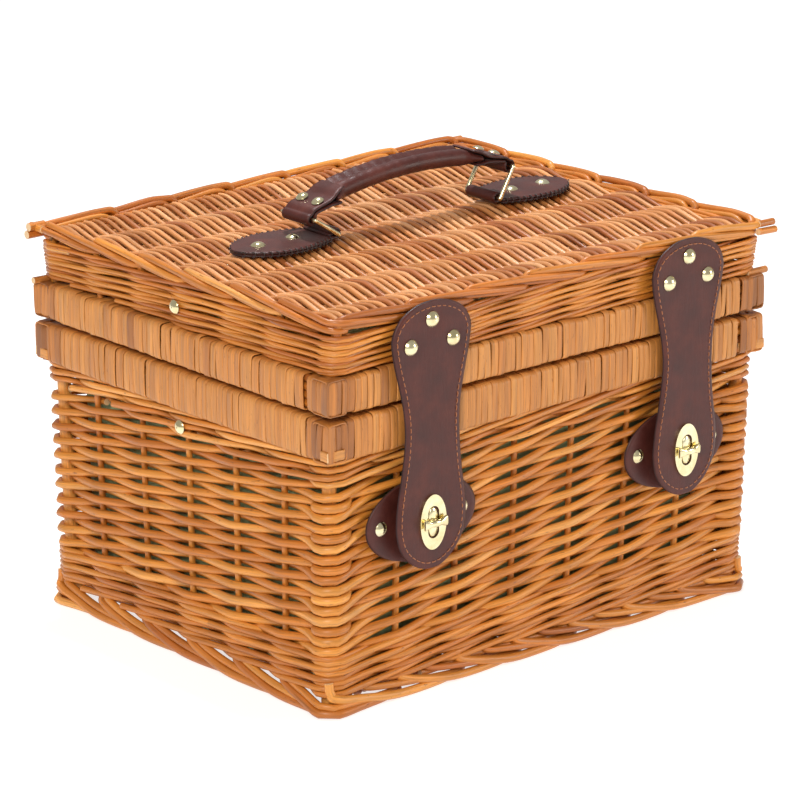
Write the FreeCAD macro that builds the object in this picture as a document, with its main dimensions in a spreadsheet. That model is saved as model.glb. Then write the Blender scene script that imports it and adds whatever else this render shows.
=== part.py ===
import FreeCAD, Part
import math
import os

# Lidded willow picnic basket.
# Frame: +X along the long front, +Y to the back (hinge side), +Z up.
# Origin: bottom centre of the whole object's bounding box, in millimetres.

V = FreeCAD.Vector
R = FreeCAD.Rotation
PL = FreeCAD.Placement
doc = FreeCAD.newDocument("basket")

# ---------------------------------------------------------------- dimensions
sheet = doc.addObject("Spreadsheet::Sheet", "dims")
DIMS = [
    ("depth_shift", 4.0),      # basket's own mid-plane sits this far behind the box centre
    ("band_half_x", 180.0), ("band_half_y", 144.0), ("band_wall", 15.0),
    ("foot_half_x", 175.0), ("foot_half_y", 135.5),
    ("top_half_x", 177.5), ("top_half_y", 140.0),
    ("wall_thick", 13.0),
    ("foot_high", 12.5), ("wale_top", 38.0), ("rand_top", 150.0), ("wall_top", 162.0),
    ("rim_low", 162.0), ("rim_high", 187.5),
    ("lid_low", 190.5), ("lid_band_top", 214.0), ("lid_wale_top", 240.0), ("lid_top", 250.0),
    ("lid_half_x", 177.5), ("lid_half_y", 148.0), ("lid_weave_top", 248.5),
    ("wrap_cover", 2.2),
    ("stake_dia", 5.0), ("post_dia", 7.5), ("stick_dia", 6.0), ("lid_stake_dia", 4.4),
    ("stake_pitch_x", 47.0), ("stake_pitch_y", 45.5), ("stick_pitch", 44.0),
    ("floor_low", 6.5), ("floor_high", 11.0),
    ("lining_thick", 1.0), ("lining_gap", 0.4),
    ("strap_x", 105.5), ("strap_thick", 2.4), ("strap_back", 148.4), ("bend_level", 214.0),
    ("latch_level", 113.5), ("patch_thick", 2.2), ("patch_face", 139.4),
    ("hinge_y", 145.6), ("hinge_z", 189.0), ("hinge_x", 96.0),
    ("leaf_wide", 44.0), ("leaf_thick", 2.6),
    ("tab_level", 248.9), ("tab_thick", 3.2), ("handle_back", 6.0),
    ("wire_dia", 2.8), ("ring_reach", 22.0), ("ring_span", 34.6),
    ("grip_dia", 13.5), ("rivet_dia", 10.0), ("shank_dia", 3.0),
]
for row, (alias, value) in enumerate(DIMS, start=1):
    sheet.set("A%d" % row, alias)
    sheet.set("B%d" % row, str(value))
    sheet.setAlias("B%d" % row, alias)
doc.recompute()
D = {alias: float(getattr(sheet, alias)) for alias, _ in DIMS}
YS = D["depth_shift"]
WORDS = sorted(D, key=len, reverse=True)


def expand(text):
    out, i = "", 0
    while i < len(text):
        for w in WORDS:
            if text.startswith(w, i) and (i == 0 or not (text[i - 1].isalnum() or text[i - 1] == "_")):
                out += "dims." + w
                i += len(w)
                break
        else:
            out += text[i]
            i += 1
    return out


def bind(obj, prop, what):
    obj.setExpression(prop, expand(what if isinstance(what, str) else repr(float(what))))


KEEP = []


def keep(obj, label):
    obj.Label = label
    KEEP.append(obj)
    return obj


def box(name, lx, ly, lz, x, y, z):
    b = doc.addObject("Part::Box", name)
    for prop, e in (("Length", lx), ("Width", ly), ("Height", lz), ("Placement.Base.x", x),
                    ("Placement.Base.y", "(" + y + ") + depth_shift"), ("Placement.Base.z", z)):
        bind(b, prop, e)
    return b


def frustum(name, z0, z1, x0, x1, y0, y1, u0, u1, w0, w1):
    """Tapered block between heights z0 and z1: X from x0..x1 at the foot to u0..u1 at the top, Y from y0..y1 to w0..w1."""
    k = doc.addObject("Part::Wedge", name)
    k.Placement = PL(V(0, YS, 0), R(V(1, 0, 0), 90))
    bind(k, "Placement.Base.y", "depth_shift")
    for prop, e in (("Ymin", z0), ("Ymax", z1), ("Xmin", x0), ("Xmax", x1), ("X2min", u0), ("X2max", u1),
                    ("Zmin", "-(" + y1 + ")"), ("Zmax", "-(" + y0 + ")"), ("Z2min", "-(" + w1 + ")"), ("Z2max", "-(" + w0 + ")")):
        bind(k, prop, e)
    return k


def cut(name, base, tool):
    c = doc.addObject("Part::Cut", name)
    c.Base, c.Tool = base, tool
    return c


def group(name, objs):
    g = doc.addObject("Part::Compound", name)
    g.Links = objs
    return g


def feature(name, shape):
    f = doc.addObject("Part::Feature", name)
    f.Shape = shape
    return f


def rod(name, a, b, dia, extra=0.0):
    """Straight round rod from a to b (basket coordinates), its diameter bound to the sheet."""
    a, b = V(*a), V(*b)
    a.y += YS
    b.y += YS
    c = doc.addObject("Part::Cylinder", name)
    bind(c, "Radius", dia + " / 2 + " + repr(float(extra)))
    c.Height = (b - a).Length
    c.Placement = PL(a, R(V(0, 0, 1), b - a))
    return c


# ---------------------------------------------------------------- base walls
def X_at(z):
    return "(foot_half_x + (top_half_x - foot_half_x) * (%s) / wall_top)" % z


def Y_at(z):
    return "(foot_half_y + (top_half_y - foot_half_y) * (%s) / wall_top)" % z


def xv(z):
    return D["foot_half_x"] + (D["top_half_x"] - D["foot_half_x"]) * z / D["wall_top"]


def yv(z):
    return D["foot_half_y"] + (D["top_half_y"] - D["foot_half_y"]) * z / D["wall_top"]


def ring(name, z0, z1, thick, xa, ya, xb, yb):
    outer = frustum(name + "_out", z0, z1, "-" + xa, xa, "-" + ya, ya, "-" + xb, xb, "-" + yb, yb)
    i = [e + " - " + thick for e in (xa, ya, xb, yb)]
    inner = frustum(name + "_in", z0, z1, "-(" + i[0] + ")", i[0], "-(" + i[1] + ")", i[1],
                    "-(" + i[2] + ")", i[2], "-(" + i[3] + ")", i[3])
    return cut(name, outer, inner)


MID = D["wall_thick"] / 2
z0, z1 = D["foot_high"] + 0.1, D["wall_top"] - 0.1
fb, lr, posts, holes = [], [], [], []
for k in range(6):
    x = (k - 2.5) * D["stake_pitch_x"]
    for s, tag in ((-1, "f"), (1, "b")):
        a, b = (x, s * (yv(z0) - MID), z0), (x, s * (yv(z1) - MID), z1)
        fb.append(rod("stake_%s%d" % (tag, k), a, b, "stake_dia"))
        holes.append(rod("bore_%s%d" % (tag, k), (a[0], a[1], a[2] - 5), (b[0], b[1], b[2] + 5), "stake_dia", 0.2))
for k in range(5):
    y = (k - 2) * D["stake_pitch_y"]
    for s, tag in ((-1, "l"), (1, "r")):
        a, b = (s * (xv(z0) - MID), y, z0), (s * (xv(z1) - MID), y, z1)
        lr.append(rod("stake_%s%d" % (tag, k), a, b, "stake_dia"))
        holes.append(rod("bore_%s%d" % (tag, k), (a[0], a[1], a[2] - 5), (b[0], b[1], b[2] + 5), "stake_dia", 0.2))
for sx in (-1, 1):
    for sy in (-1, 1):
        a = (sx * (xv(z0) - MID), sy * (yv(z0) - MID), z0)
        b = (sx * (xv(z1) - MID), sy * (yv(z1) - MID), z1)
        n = "%s%s" % ("lr"[sx > 0], "fb"[sy > 0])
        posts.append(rod("post_" + n, a, b, "post_dia"))
        holes.append(rod("bore_p" + n, (a[0], a[1], a[2] - 5), (b[0], b[1], b[2] + 5), "post_dia", 0.2))
keep(group("stakes_fb", fb), "stakes_front_back")
keep(group("stakes_lr", lr), "stakes_left_right")
keep(group("posts", posts), "corner_posts")
bores = group("bores", holes)

keep(ring("foot", "0", "foot_high", "wall_thick", X_at("0"), Y_at("0"), X_at("foot_high"), Y_at("foot_high")), "foot_border")
keep(cut("wale_low", ring("wale_low_ring", "foot_high", "wale_top", "wall_thick", X_at("foot_high"), Y_at("foot_high"),
                          X_at("wale_top"), Y_at("wale_top")), bores), "upsett_wale")
keep(cut("wale_high", ring("wale_high_ring", "rand_top", "wall_top", "wall_thick", X_at("rand_top"), Y_at("rand_top"),
                           X_at("wall_top"), Y_at("wall_top")), bores), "top_wale")
xb_, yb_, xt_, yt_ = X_at("wale_top"), Y_at("wale_top"), X_at("rand_top"), Y_at("rand_top")
t = " - wall_thick"
for s, nm in (("-", "front"), ("", "back")):
    lo, hi = ("-" + yb_, "-(" + yb_ + t + ")") if s else (yb_ + t, yb_)
    lo2, hi2 = ("-" + yt_, "-(" + yt_ + t + ")") if s else (yt_ + t, yt_)
    slab = frustum("slab_" + nm, "wale_top", "rand_top", "-" + xb_, xb_, lo, hi, "-" + xt_, xt_, lo2, hi2)
    keep(cut("weave_" + nm, slab, bores), "wall_weave_" + nm)
for s, nm in (("-", "left"), ("", "right")):
    lo, hi = ("-" + xb_, "-(" + xb_ + t + ")") if s else (xb_ + t, xb_)
    lo2, hi2 = ("-" + xt_, "-(" + xt_ + t + ")") if s else (xt_ + t, xt_)
    g = " - 0.1"
    slab = frustum("slab_" + nm, "wale_top", "rand_top", lo, hi, "-(" + yb_ + t + g + ")", yb_ + t + g,
                   lo2, hi2, "-(" + yt_ + t + g + ")", yt_ + t + g)
    keep(cut("weave_" + nm, slab, bores), "wall_weave_" + nm)

# woven floor on five cross sticks, inside the foot
keep(box("floor_mat", "2 * (foot_half_x - wall_thick) - 0.6", "2 * (foot_half_y - wall_thick) - 0.6", "floor_high - floor_low",
         "-(foot_half_x - wall_thick) + 0.3", "-(foot_half_y - wall_thick) + 0.3", "floor_low"), "floor_weave")
sticks = []
for k in range(5):
    y = (k - 2) * 48.0
    L = D["foot_half_x"] - D["wall_thick"] - 0.5
    sticks.append(rod("floor_stick_%d" % k, (-L, y, 3.4), (L, y, 3.4), "stick_dia"))
keep(group("floor_sticks", sticks), "floor_sticks")


def c_band(name, low, high, cover_label, core_label):
    """Split-cane wrapped rim: a rod core inside a C-shaped binding that covers its top, bottom and outer face."""
    shell = ring(name + "_shell", low, high, "band_wall", "band_half_x", "band_half_y", "band_half_x", "band_half_y")
    room = ring(name + "_room", low + " + wrap_cover", high + " - wrap_cover", "band_wall",
                "(band_half_x - wrap_cover)", "(band_half_y - wrap_cover)", "(band_half_x - wrap_cover)", "(band_half_y - wrap_cover)")
    keep(cut(name + "_wrap", shell, room), cover_label)
    g = " - 0.1"
    core = ring(name + "_core", low + " + wrap_cover + 0.1", high + " - wrap_cover - 0.1", "(band_wall - wrap_cover - 0.1)",
                "(band_half_x - wrap_cover - 0.1)", "(band_half_y - wrap_cover - 0.1)",
                "(band_half_x - wrap_cover - 0.1)", "(band_half_y - wrap_cover - 0.1)")
    keep(core, core_label)


c_band("rim", "rim_low", "rim_high", "rim_binding", "rim_core")
c_band("lidrim", "lid_low", "lid_band_top", "lid_rim_binding", "lid_rim_core")

# green cloth lining of the base: four walls and a floor
def lining_walls(name, extra):
    e = "(wall_thick + lining_gap + %s)" % extra
    return frustum(name, "floor_high + lining_gap" if extra == "0" else "floor_high + lining_gap + lining_thick", "rim_low - 2",
                   "-(%s - %s)" % (X_at("floor_high"), e), "%s - %s" % (X_at("floor_high"), e),
                   "-(%s - %s)" % (Y_at("floor_high"), e), "%s - %s" % (Y_at("floor_high"), e),
                   "-(%s - %s)" % (X_at("rim_low"), e), "%s - %s" % (X_at("rim_low"), e),
                   "-(%s - %s)" % (Y_at("rim_low"), e), "%s - %s" % (Y_at("rim_low"), e))


keep(cut("lining", lining_walls("lining_out", "0"), lining_walls("lining_in", "lining_thick")), "base_lining")

# ---------------------------------------------------------------- lid
lid_st, lid_bore = [], []
zl0, zl1 = D["lid_band_top"] + 0.9, D["lid_wale_top"] - 0.9


def lx(z):
    return 177.0 - 0.5 * (z - 214.0) / 26.0


def ly(z):
    return 142.0 + 4.5 * (z - 214.0) / 26.0


for k in range(6):
    x = (k - 2.5) * D["stake_pitch_x"]
    for s, tag in ((-1, "f"), (1, "b")):
        a, b = (x, s * (ly(zl0) - 6), zl0), (x, s * (ly(zl1) - 6), zl1)
        lid_st.append(rod("lid_stake_%s%d" % (tag, k), a, b, "lid_stake_dia"))
        lid_bore.append(rod("lid_bore_%s%d" % (tag, k), (x, s * (ly(zl0 - 3) - 6), zl0 - 3), (x, s * (ly(zl1 + 3) - 6), zl1 + 3), "lid_stake_dia", 0.2))
for k in range(5):
    y = (k - 2) * D["stick_pitch"]
    for s, tag in ((-1, "l"), (1, "r")):
        a, b = (s * (lx(zl0) - 6), y, zl0), (s * (lx(zl1) - 6), y, zl1)
        lid_st.append(rod("lid_stake_%s%d" % (tag, k), a, b, "lid_stake_dia"))
        lid_bore.append(rod("lid_bore_%s%d" % (tag, k), (s * (lx(zl0 - 3) - 6), y, zl0 - 3), (s * (lx(zl1 + 3) - 6), y, zl1 + 3), "lid_stake_dia", 0.2))
lid_posts = []
for sx in (-1, 1):
    for sy in (-1, 1):
        a, b = (sx * (lx(zl0) - 6), sy * (ly(zl0) - 6), zl0), (sx * (lx(zl1) - 6), sy * (ly(zl1) - 6), zl1)
        n = "%s%s" % ("lr"[sx > 0], "fb"[sy > 0])
        lid_posts.append(rod("lid_post_" + n, a, b, "post_dia"))
        lo, hi = zl0 - 3, zl1 + 3
        lid_bore.append(rod("lid_bore_p" + n, (sx * (lx(lo) - 6), sy * (ly(lo) - 6), lo), (sx * (lx(hi) - 6), sy * (ly(hi) - 6), hi), "post_dia", 0.2))
keep(group("lid_stakes", lid_st), "lid_stakes")
keep(group("lid_posts", lid_posts), "lid_corner_posts")
lid_bores = group("lid_bores", lid_bore)
keep(cut("lid_wale", ring("lid_wale_ring", "lid_band_top", "lid_wale_top", "12", "177", "142", "176.5", "146.5"), lid_bores), "lid_side_wale")
keep(ring("lid_border", "lid_wale_top", "lid_top", "12", "lid_half_x", "lid_half_y", "lid_half_x", "lid_half_y"), "lid_border")
lid_sticks, stick_bores = [], []
for k in range(5):
    y = (k - 2) * D["stick_pitch"]
    L = D["lid_half_x"] - 12.3
    lid_sticks.append(rod("lid_stick_%d" % k, (-L + 0.2, y, 244.4), (L - 0.2, y, 244.4), "stick_dia"))
    stick_bores.append(rod("lid_stick_bore_%d" % k, (-L - 5, y, 244.4), (L + 5, y, 244.4), "stick_dia", 0.2))
keep(group("lid_sticks", lid_sticks), "lid_sticks")
lid_mat = box("lid_mat", "2 * (lid_half_x - 12.2)", "2 * (lid_half_y - 12.2)", "lid_weave_top - lid_wale_top",
              "-(lid_half_x - 12.2)", "-(lid_half_y - 12.2)", "lid_wale_top")
keep(cut("lid_weave", lid_mat, group("lid_stick_bores", stick_bores)), "lid_top_weave")
llo = box("lid_lining_out", "2 * 164.2", "2 * 129.6", "lid_wale_top - 0.3 - (lid_band_top + 1)", "-164.2", "-129.6", "lid_band_top + 1")
lli = box("lid_lining_in", "2 * 163.2", "2 * 128.6", "lid_wale_top - 1.3 - (lid_band_top + 1)", "-163.2", "-128.6", "lid_band_top + 1")
keep(cut("lid_lining", llo, lli), "lid_lining")


# ---------------------------------------------------------------- leather and brass helpers
def plane_of(body, role):
    for f in body.Origin.OriginFeatures:
        if f.Role == role:
            return f


def leather(name, label, outline, closing, plane, thick, holes_=(), kept=True):
    """A leather piece cut from a flat hide: a spline outline with a straight closing edge, padded to its thickness."""
    body = doc.addObject("PartDesign::Body", name)
    sk = body.newObject("Sketcher::SketchObject", name + "_sketch")
    sk.AttachmentSupport = [(plane_of(body, plane), "")]
    sk.MapMode = "FlatFace"
    c = Part.BSplineCurve()
    if closing:
        c.interpolate([V(x, y, 0) for x, y in outline])
        sk.addGeometry(c, False)
        sk.addGeometry(Part.LineSegment(V(outline[-1][0], outline[-1][1], 0), V(outline[0][0], outline[0][1], 0)), False)
    else:
        c.interpolate([V(x, y, 0) for x, y in outline], True)
        sk.addGeometry(c, False)
    for hx, hy, hr in holes_:
        sk.addGeometry(Part.Circle(V(hx, hy, 0), V(0, 0, 1), hr), False)
    pad = body.newObject("PartDesign::Pad", name + "_pad")
    pad.Profile = sk
    bind(pad, "Length", thick)
    body.Tip = pad
    if kept:
        keep(body, label)
    return body


def dome(r, hgt, shank_r, shank_len):
    """Rivet with a domed cap of radius r on a shank; its axis is +Z, cap foot at z = 0, shank below."""
    rad = (r * r + hgt * hgt) / (2 * hgt)
    a0 = V(r, 0, 0)
    mid_h = hgt * 0.78
    mx = math.sqrt(max(rad * rad - (rad - hgt + mid_h) ** 2, 0.0))
    edges = [
        Part.LineSegment(V(0, 0, hgt), V(0, 0, -shank_len)).toShape(),
        Part.LineSegment(V(0, 0, -shank_len), V(shank_r, 0, -shank_len)).toShape(),
        Part.LineSegment(V(shank_r, 0, -shank_len), V(shank_r, 0, 0)).toShape(),
        Part.LineSegment(V(shank_r, 0, 0), a0).toShape(),
        Part.Arc(a0, V(mx, 0, mid_h), V(0, 0, hgt)).toShape(),
    ]
    return Part.Face(Part.Wire(edges)).revolve(V(0, 0, 0), V(0, 0, 1), 360)


def rivets(name, label, places, direction, shank_len, r=None, hgt=2.4):
    r = r or D["rivet_dia"] / 2
    out = []
    for p in places:
        s = dome(r, hgt, D["shank_dia"] / 2, shank_len)
        if s.Volume < 0:
            s.reverse()
        s.Placement = PL(V(p[0], p[1] + YS, p[2]), R(V(0, 0, 1), V(*direction)))
        out.append(s)
    return keep(feature(name, Part.makeCompound(out)), label)


# ---------------------------------------------------------------- front straps
HALF = [(84.0, 0.0), (85.0, 7.0), (88.5, 14.0), (94.0, 20.5), (101.0, 25.0), (110.0, 27.3), (120.0, 27.5), (132.0, 26.0),
        (145.0, 23.8), (160.0, 22.0), (175.0, 21.5), (188.0, 22.8), (200.0, 25.3), (212.0, 28.3), (216.0, 29.2),
        (224.0, 30.6), (231.0, 31.0), (238.0, 28.3), (243.0, 23.8), (247.0, 17.0), (249.5, 9.0), (250.4, 0.0)]
gap = 2.0
bend = D["bend_level"]
low = [(z, w) for z, w in HALF if z <= bend - gap]
top = [(z, w) for z, w in HALF if z >= bend + gap]
low_out = [(w, z) for z, w in reversed(low)] + [(-w, z) for z, w in low[1:]]
top_out = [(w, z) for z, w in top] + [(-w, z) for z, w in reversed(top[:-1])]
HR = D["shank_dia"] / 2 + 0.1
RIV = [(0.0, 239.0), (-16.5, 224.5), (16.5, 224.5)]
LZ = D["latch_level"]
for side, tag in ((-1, "left"), (1, "right")):
    cx = side * D["strap_x"]
    face = -D["strap_back"] + YS
    up = leather("strap_top_" + tag, "strap_top_" + tag, top_out, True, "XZ_Plane", "strap_thick",
                 [(x, z, HR) for x, z in RIV])
    up.Placement = PL(V(cx, face, 0), R())
    fl = leather("flap_" + tag, "strap_flap_" + tag, low_out, True, "XZ_Plane", "strap_thick", kept=False)
    fl.Placement = PL(V(cx, face, 0), R())
    slot_tool = doc.addObject("Part::Box", "flap_slot_" + tag)
    slot_tool.Length, slot_tool.Width, slot_tool.Height = 10.8, 20, 22.4
    slot_tool.Placement = PL(V(cx - 5.4, face - 10, LZ - 11.2), R())
    keep(cut("flap_cut_" + tag, fl, slot_tool), "strap_flap_" + tag)
rivets("strap_riv", "strap_rivets", [(s * D["strap_x"] + x, -D["strap_back"] - D["strap_thick"], z) for s in (-1, 1) for x, z in RIV],
       (0, -1, 0), D["strap_thick"], hgt=3.0)


def oval_prism(a, b, y0, y1, cx, cz):
    """Elliptical prism standing on a front plane: half-axes a (X) and b (Z), from y0 out to y1."""
    c = V(cx, -y0 + YS, cz)
    e = Part.Ellipse(c + V(0, 0, b), c + V(a, 0, 0), c).toShape()
    s = Part.Face(Part.Wire([e])).extrude(V(0, -(y1 - y0), 0))
    if s.Volume < 0:
        s.reverse()
    return s


def block(x0_, x1_, y0_, y1_, z0_, z1_):
    return Part.makeBox(x1_ - x0_, y1_ - y0_, z1_ - z0_, V(x0_, y0_ + YS, z0_))


def cyl_y(r, y_front, y_back, cx, cz):
    """Cylinder along Y from y_back forward to y_front."""
    return Part.makeCylinder(r, y_back - y_front, V(cx, y_front + YS, cz), V(0, 1, 0))


def slot_prism(w, hgt, y_front, y_back, cx, cz):
    """Rounded slot prism, w wide and hgt tall."""
    r = w / 2
    s = block(cx - r, cx + r, y_front, y_back, cz - hgt / 2 + r, cz + hgt / 2 - r)
    s = s.fuse(cyl_y(r, y_front, y_back, cx, cz - hgt / 2 + r))
    s = s.fuse(cyl_y(r, y_front, y_back, cx, cz + hgt / 2 - r))
    return s.removeSplitter()


front_face = D["strap_back"] + D["strap_thick"]          # outer face of the strap, as a distance forward
patch_front = D["patch_face"] + D["patch_thick"]
for side, tag in ((-1, "left"), (1, "right")):
    cx = side * D["strap_x"]
    # brass eyelet: oval flange on the strap's face and a barrel through it
    plate = oval_prism(10.2, 17.2, front_face, front_face + 1.3, cx, LZ)
    barrel = slot_prism(10.4, 22.0, -front_face, -(front_face - D["strap_thick"]), cx, LZ)
    hole = slot_prism(8.6, 20.2, -(front_face + 5), -(front_face - 8), cx, LZ)
    keep(feature("eyelet_" + tag, plate.fuse(barrel).removeSplitter().cut(hole)), "eyelet_" + tag)
    # turn-lock seat on the patch: oval plate, collar with a bore
    seat = oval_prism(9.8, 16.8, patch_front, patch_front + 1.2, cx, LZ)
    collar = cyl_y(3.9, -(patch_front + 4.2), -(patch_front + 1.2), cx, LZ)
    bore = cyl_y(1.55, -(patch_front + 9), -(patch_front + 0.6), cx, LZ)
    keep(feature("turnlock_seat_" + tag, seat.fuse(collar).removeSplitter().cut(bore)), "turnlock_seat_" + tag)
    # turn button: pivot pin, post and a wing that lies across the slot when locked
    y_post = patch_front + 4.3
    y_wing = front_face + 1.3 + 0.5
    pin = cyl_y(1.5, -y_post, -(patch_front + 0.8), cx, LZ)
    post = cyl_y(2.9, -y_wing, -y_post, cx, LZ)
    wing = block(cx - 8.6, cx + 8.6, -(y_wing + 4.0), -y_wing, LZ - 3.1, LZ + 3.1)
    wing = wing.makeFillet(1.2, [e for e in wing.Edges])
    keep(feature("turn_button_" + tag, pin.fuse(post).fuse(wing).removeSplitter()), "turn_button_" + tag)
    # leather patch behind the strap's tongue
    patch = doc.addObject("PartDesign::Body", "patch_" + tag)
    sk = patch.newObject("Sketcher::SketchObject", "patch_sketch_" + tag)
    sk.AttachmentSupport = [(plane_of(patch, "XZ_Plane"), "")]
    sk.MapMode = "FlatFace"
    sk.addGeometry(Part.Ellipse(V(0, 0, 0), 43.5, 26.0), False)
    for hx in (-32.0, 32.0):
        sk.addGeometry(Part.Circle(V(hx, 0, 0), V(0, 0, 1), HR), False)
    pad = patch.newObject("PartDesign::Pad", "patch_pad_" + tag)
    pad.Profile = sk
    bind(pad, "Length", "patch_thick")
    patch.Tip = pad
    patch.Placement = PL(V(cx, -D["patch_face"] + YS, LZ), R())
    keep(patch, "latch_patch_" + tag)
rivets("patch_riv", "patch_rivets", [(s * D["strap_x"] + x, -patch_front, LZ) for s in (-1, 1) for x in (-32.0, 32.0)],
       (0, -1, 0), D["patch_thick"], r=4.5, hgt=2.2)

# ---------------------------------------------------------------- leather hinges at the back
for nm, lab, za, zb, zr in (("leaf_low", "hinge_leaves_base", 163.5, D["hinge_z"] - 3.0, 172.5),
                            ("leaf_up", "hinge_leaves_lid", D["hinge_z"] + 3.0, 213.0, 203.5)):
    parts = []
    for s in (-1, 1):
        b = box("%s_%s" % (nm, "lr"[s > 0]), "leaf_wide", "leaf_thick", repr(zb - za),
                "%d * hinge_x - leaf_wide / 2" % s, "band_half_y + 0.1", repr(za))
        parts.append(b)
    tools = [rod("%s_h%d" % (nm, i), (s * D["hinge_x"] + dx, 143.0, zr), (s * D["hinge_x"] + dx, 150.0, zr), "shank_dia", 0.1)
             for i, (s, dx) in enumerate([(-1, -12), (-1, 12), (1, -12), (1, 12)])]
    keep(cut(nm + "_cut", group(nm + "_pair", parts), group(nm + "_holes", tools)), lab)
for nm, lab, zr in (("hinge_riv_b", "hinge_rivets_base", 172.5), ("hinge_riv_l", "hinge_rivets_lid", 203.5)):
    rivets(nm, lab, [(s * D["hinge_x"] + dx, D["band_half_y"] + 0.1 + D["leaf_thick"], zr) for s in (-1, 1) for dx in (-12, 12)],
           (0, 1, 0), D["leaf_thick"], r=4.5, hgt=2.2)

# ---------------------------------------------------------------- lid stays inside, with a rivet at each end
ST_IN = 159.0
pts = [(0.0, 151.0), (80.0, 187.0), (4.0, 226.0)]


def stay_shape(x_in):
    """Folded webbing strap: one V of flat strap, 14 wide and 1.4 thick, lying in a plane of constant X."""
    w = 7.0
    legs = None
    for (ya, za), (yb, zb) in ((pts[0], pts[1]), (pts[1], pts[2])):
        d = V(0, yb - ya, zb - za)
        L = d.Length
        s = Part.makeBox(1.4, L + 2 * w, 2 * w, V(-0.7, -w, -w))
        s = s.makeFillet(w - 0.2, [e for e in s.Edges if abs(e.BoundBox.XLength - 1.4) < 1e-6 and e.BoundBox.YLength < 1e-6])
        s.Placement = PL(V(x_in, ya + YS, za), R(V(1, 0, 0), math.degrees(math.atan2(zb - za, yb - ya))))
        legs = s if legs is None else legs.fuse(s)
    return legs.removeSplitter()


for side, tag in ((-1, "left"), (1, "right")):
    keep(feature("stay_" + tag, stay_shape(side * ST_IN)), "lid_stay_" + tag)
for nm, lab, yy, zz, xx in (("stay_riv_b", "stay_rivets_base", 0.0, 151.0, xv(151.0)), ("stay_riv_l", "stay_rivets_lid", 4.0, 226.0, lx(226.0))):
    out = []
    for s in (-1, 1):
        d = dome(4.5, 2.2, 1.5, 0.5)
        d.Placement = PL(V(s * (xx + 0.6), yy + YS, zz), R(V(0, 0, 1), V(s, 0, 0)))
        out.append(d)
    keep(feature(nm, Part.makeCompound(out)), lab)

# ---------------------------------------------------------------- handle: tabs, rings, grip
AX, BX = -59.0, 75.0                      # inner ends of the two tabs, on the ring bars
HY = D["handle_back"]                      # the handle sits a little behind the lid's middle
bar_z = D["tab_level"] + 4.2
TAB = [(0.0, 14.0), (8.0, 15.4), (20.0, 18.8), (34.0, 20.4), (46.0, 19.4), (56.0, 16.0), (64.0, 10.0), (68.5, 4.6), (70.0, 0.0)]
for ax, s, tag in ((AX, -1, "left"), (BX, 1, "right")):
    outline = [(s * u, w) for u, w in TAB] + [(s * u, -w) for u, w in reversed(TAB[:-1])]
    flat = leather("tab_flat_" + tag, "tab_flat_" + tag, outline, True, "XY_Plane", "tab_thick",
                   [(s * 24.0, 0.0, HR), (s * 51.0, 0.0, HR)], kept=False)
    flat.Placement = PL(V(ax, YS + HY, D["tab_level"]), R())
    roll = rod("tab_roll_" + tag, (ax, HY - 14, bar_z), (ax, HY + 14, bar_z), "0 * stick_dia + 7.6")
    core = rod("tab_bore_" + tag, (ax, HY - 25, bar_z), (ax, HY + 25, bar_z), "wire_dia", 0.4)
    f = doc.addObject("Part::Fuse", "tab_fuse_" + tag)
    f.Base, f.Tool = flat, roll
    keep(cut("tab_" + tag, f, core), "handle_tab_" + tag)
rivets("tab_riv", "tab_rivets", [(AX - 24, HY, D["tab_level"] + D["tab_thick"]), (AX - 51, HY, D["tab_level"] + D["tab_thick"]),
                                 (BX + 24, HY, D["tab_level"] + D["tab_thick"]), (BX + 51, HY, D["tab_level"] + D["tab_thick"])],
       (0, 0, 1), D["tab_thick"], r=4.8, hgt=2.4)

LEAN = {"left": 147.5, "right": 60.0}
bars = {}
for ax, tag in ((AX, "left"), (BX, "right")):
    ang = math.radians(LEAN[tag])
    L, half, r = D["ring_reach"], D["ring_span"] / 2 - D["wire_dia"] / 2, D["wire_dia"] / 2
    top_pt = V(ax + L * math.cos(ang), YS + HY, bar_z + L * math.sin(ang))
    bars[tag] = (top_pt.x, top_pt.z)
    low_pt = V(ax, YS + HY, bar_z)
    a, b = low_pt + V(0, -half, 0), low_pt + V(0, half, 0)
    c, d = top_pt + V(0, half, 0), top_pt + V(0, -half, 0)
    shape = None
    for p, q in ((a, b), (b, c), (c, d), (d, a)):
        s = Part.makeCylinder(r, (q - p).Length, p, q - p)
        shape = s if shape is None else shape.fuse(s)
        shape = shape.fuse(Part.makeSphere(r, p))
    keep(feature("ring_" + tag, shape.removeSplitter()), "ring_" + tag)

# grip: an arched leather tube on a rope core, flat folded ends round the rings' upper bars
(bx0, bz0), (bx1, bz1) = bars["left"], bars["right"]
E0, E1 = V(bx0 + 2.0, 0, bz0 + 4.2), V(bx1 - 2.0, 0, bz1 + 4.2)
chord = E1 - E0
mid = (E0 + E1) * 0.5 + V(0, 0, 10.5)
arc_c = Part.Arc(E0, mid, E1)
edge = arc_c.toShape()
half = chord.Length / 2
rise = (mid - (E0 + E1) * 0.5).dot(V(-chord.z, 0, chord.x) * (1 / chord.Length))
ARC_R = (half * half + rise * rise) / (2 * rise)
ARC_C = edge.Curve.Center


def on_arc(share):
    p0, p1 = edge.ParameterRange
    u = p0 + (p1 - p0) * share
    return edge.valueAt(u), edge.tangentAt(u)


def tube(s0, s1, r):
    """Round bar along the grip's arc, between two shares of its length."""
    p, tg = on_arc(s0)
    q, _ = on_arc(s1)
    disc = Part.Face(Part.Wire([Part.Circle(p, tg, r).toShape()]))
    u, w = p - ARC_C, q - ARC_C
    turn = math.degrees(math.atan2(u.z, u.x) - math.atan2(w.z, w.x))
    sh = disc.revolve(ARC_C, V(0, 1, 0), turn)
    if sh.Volume < 0:
        sh.reverse()
    return sh


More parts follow.
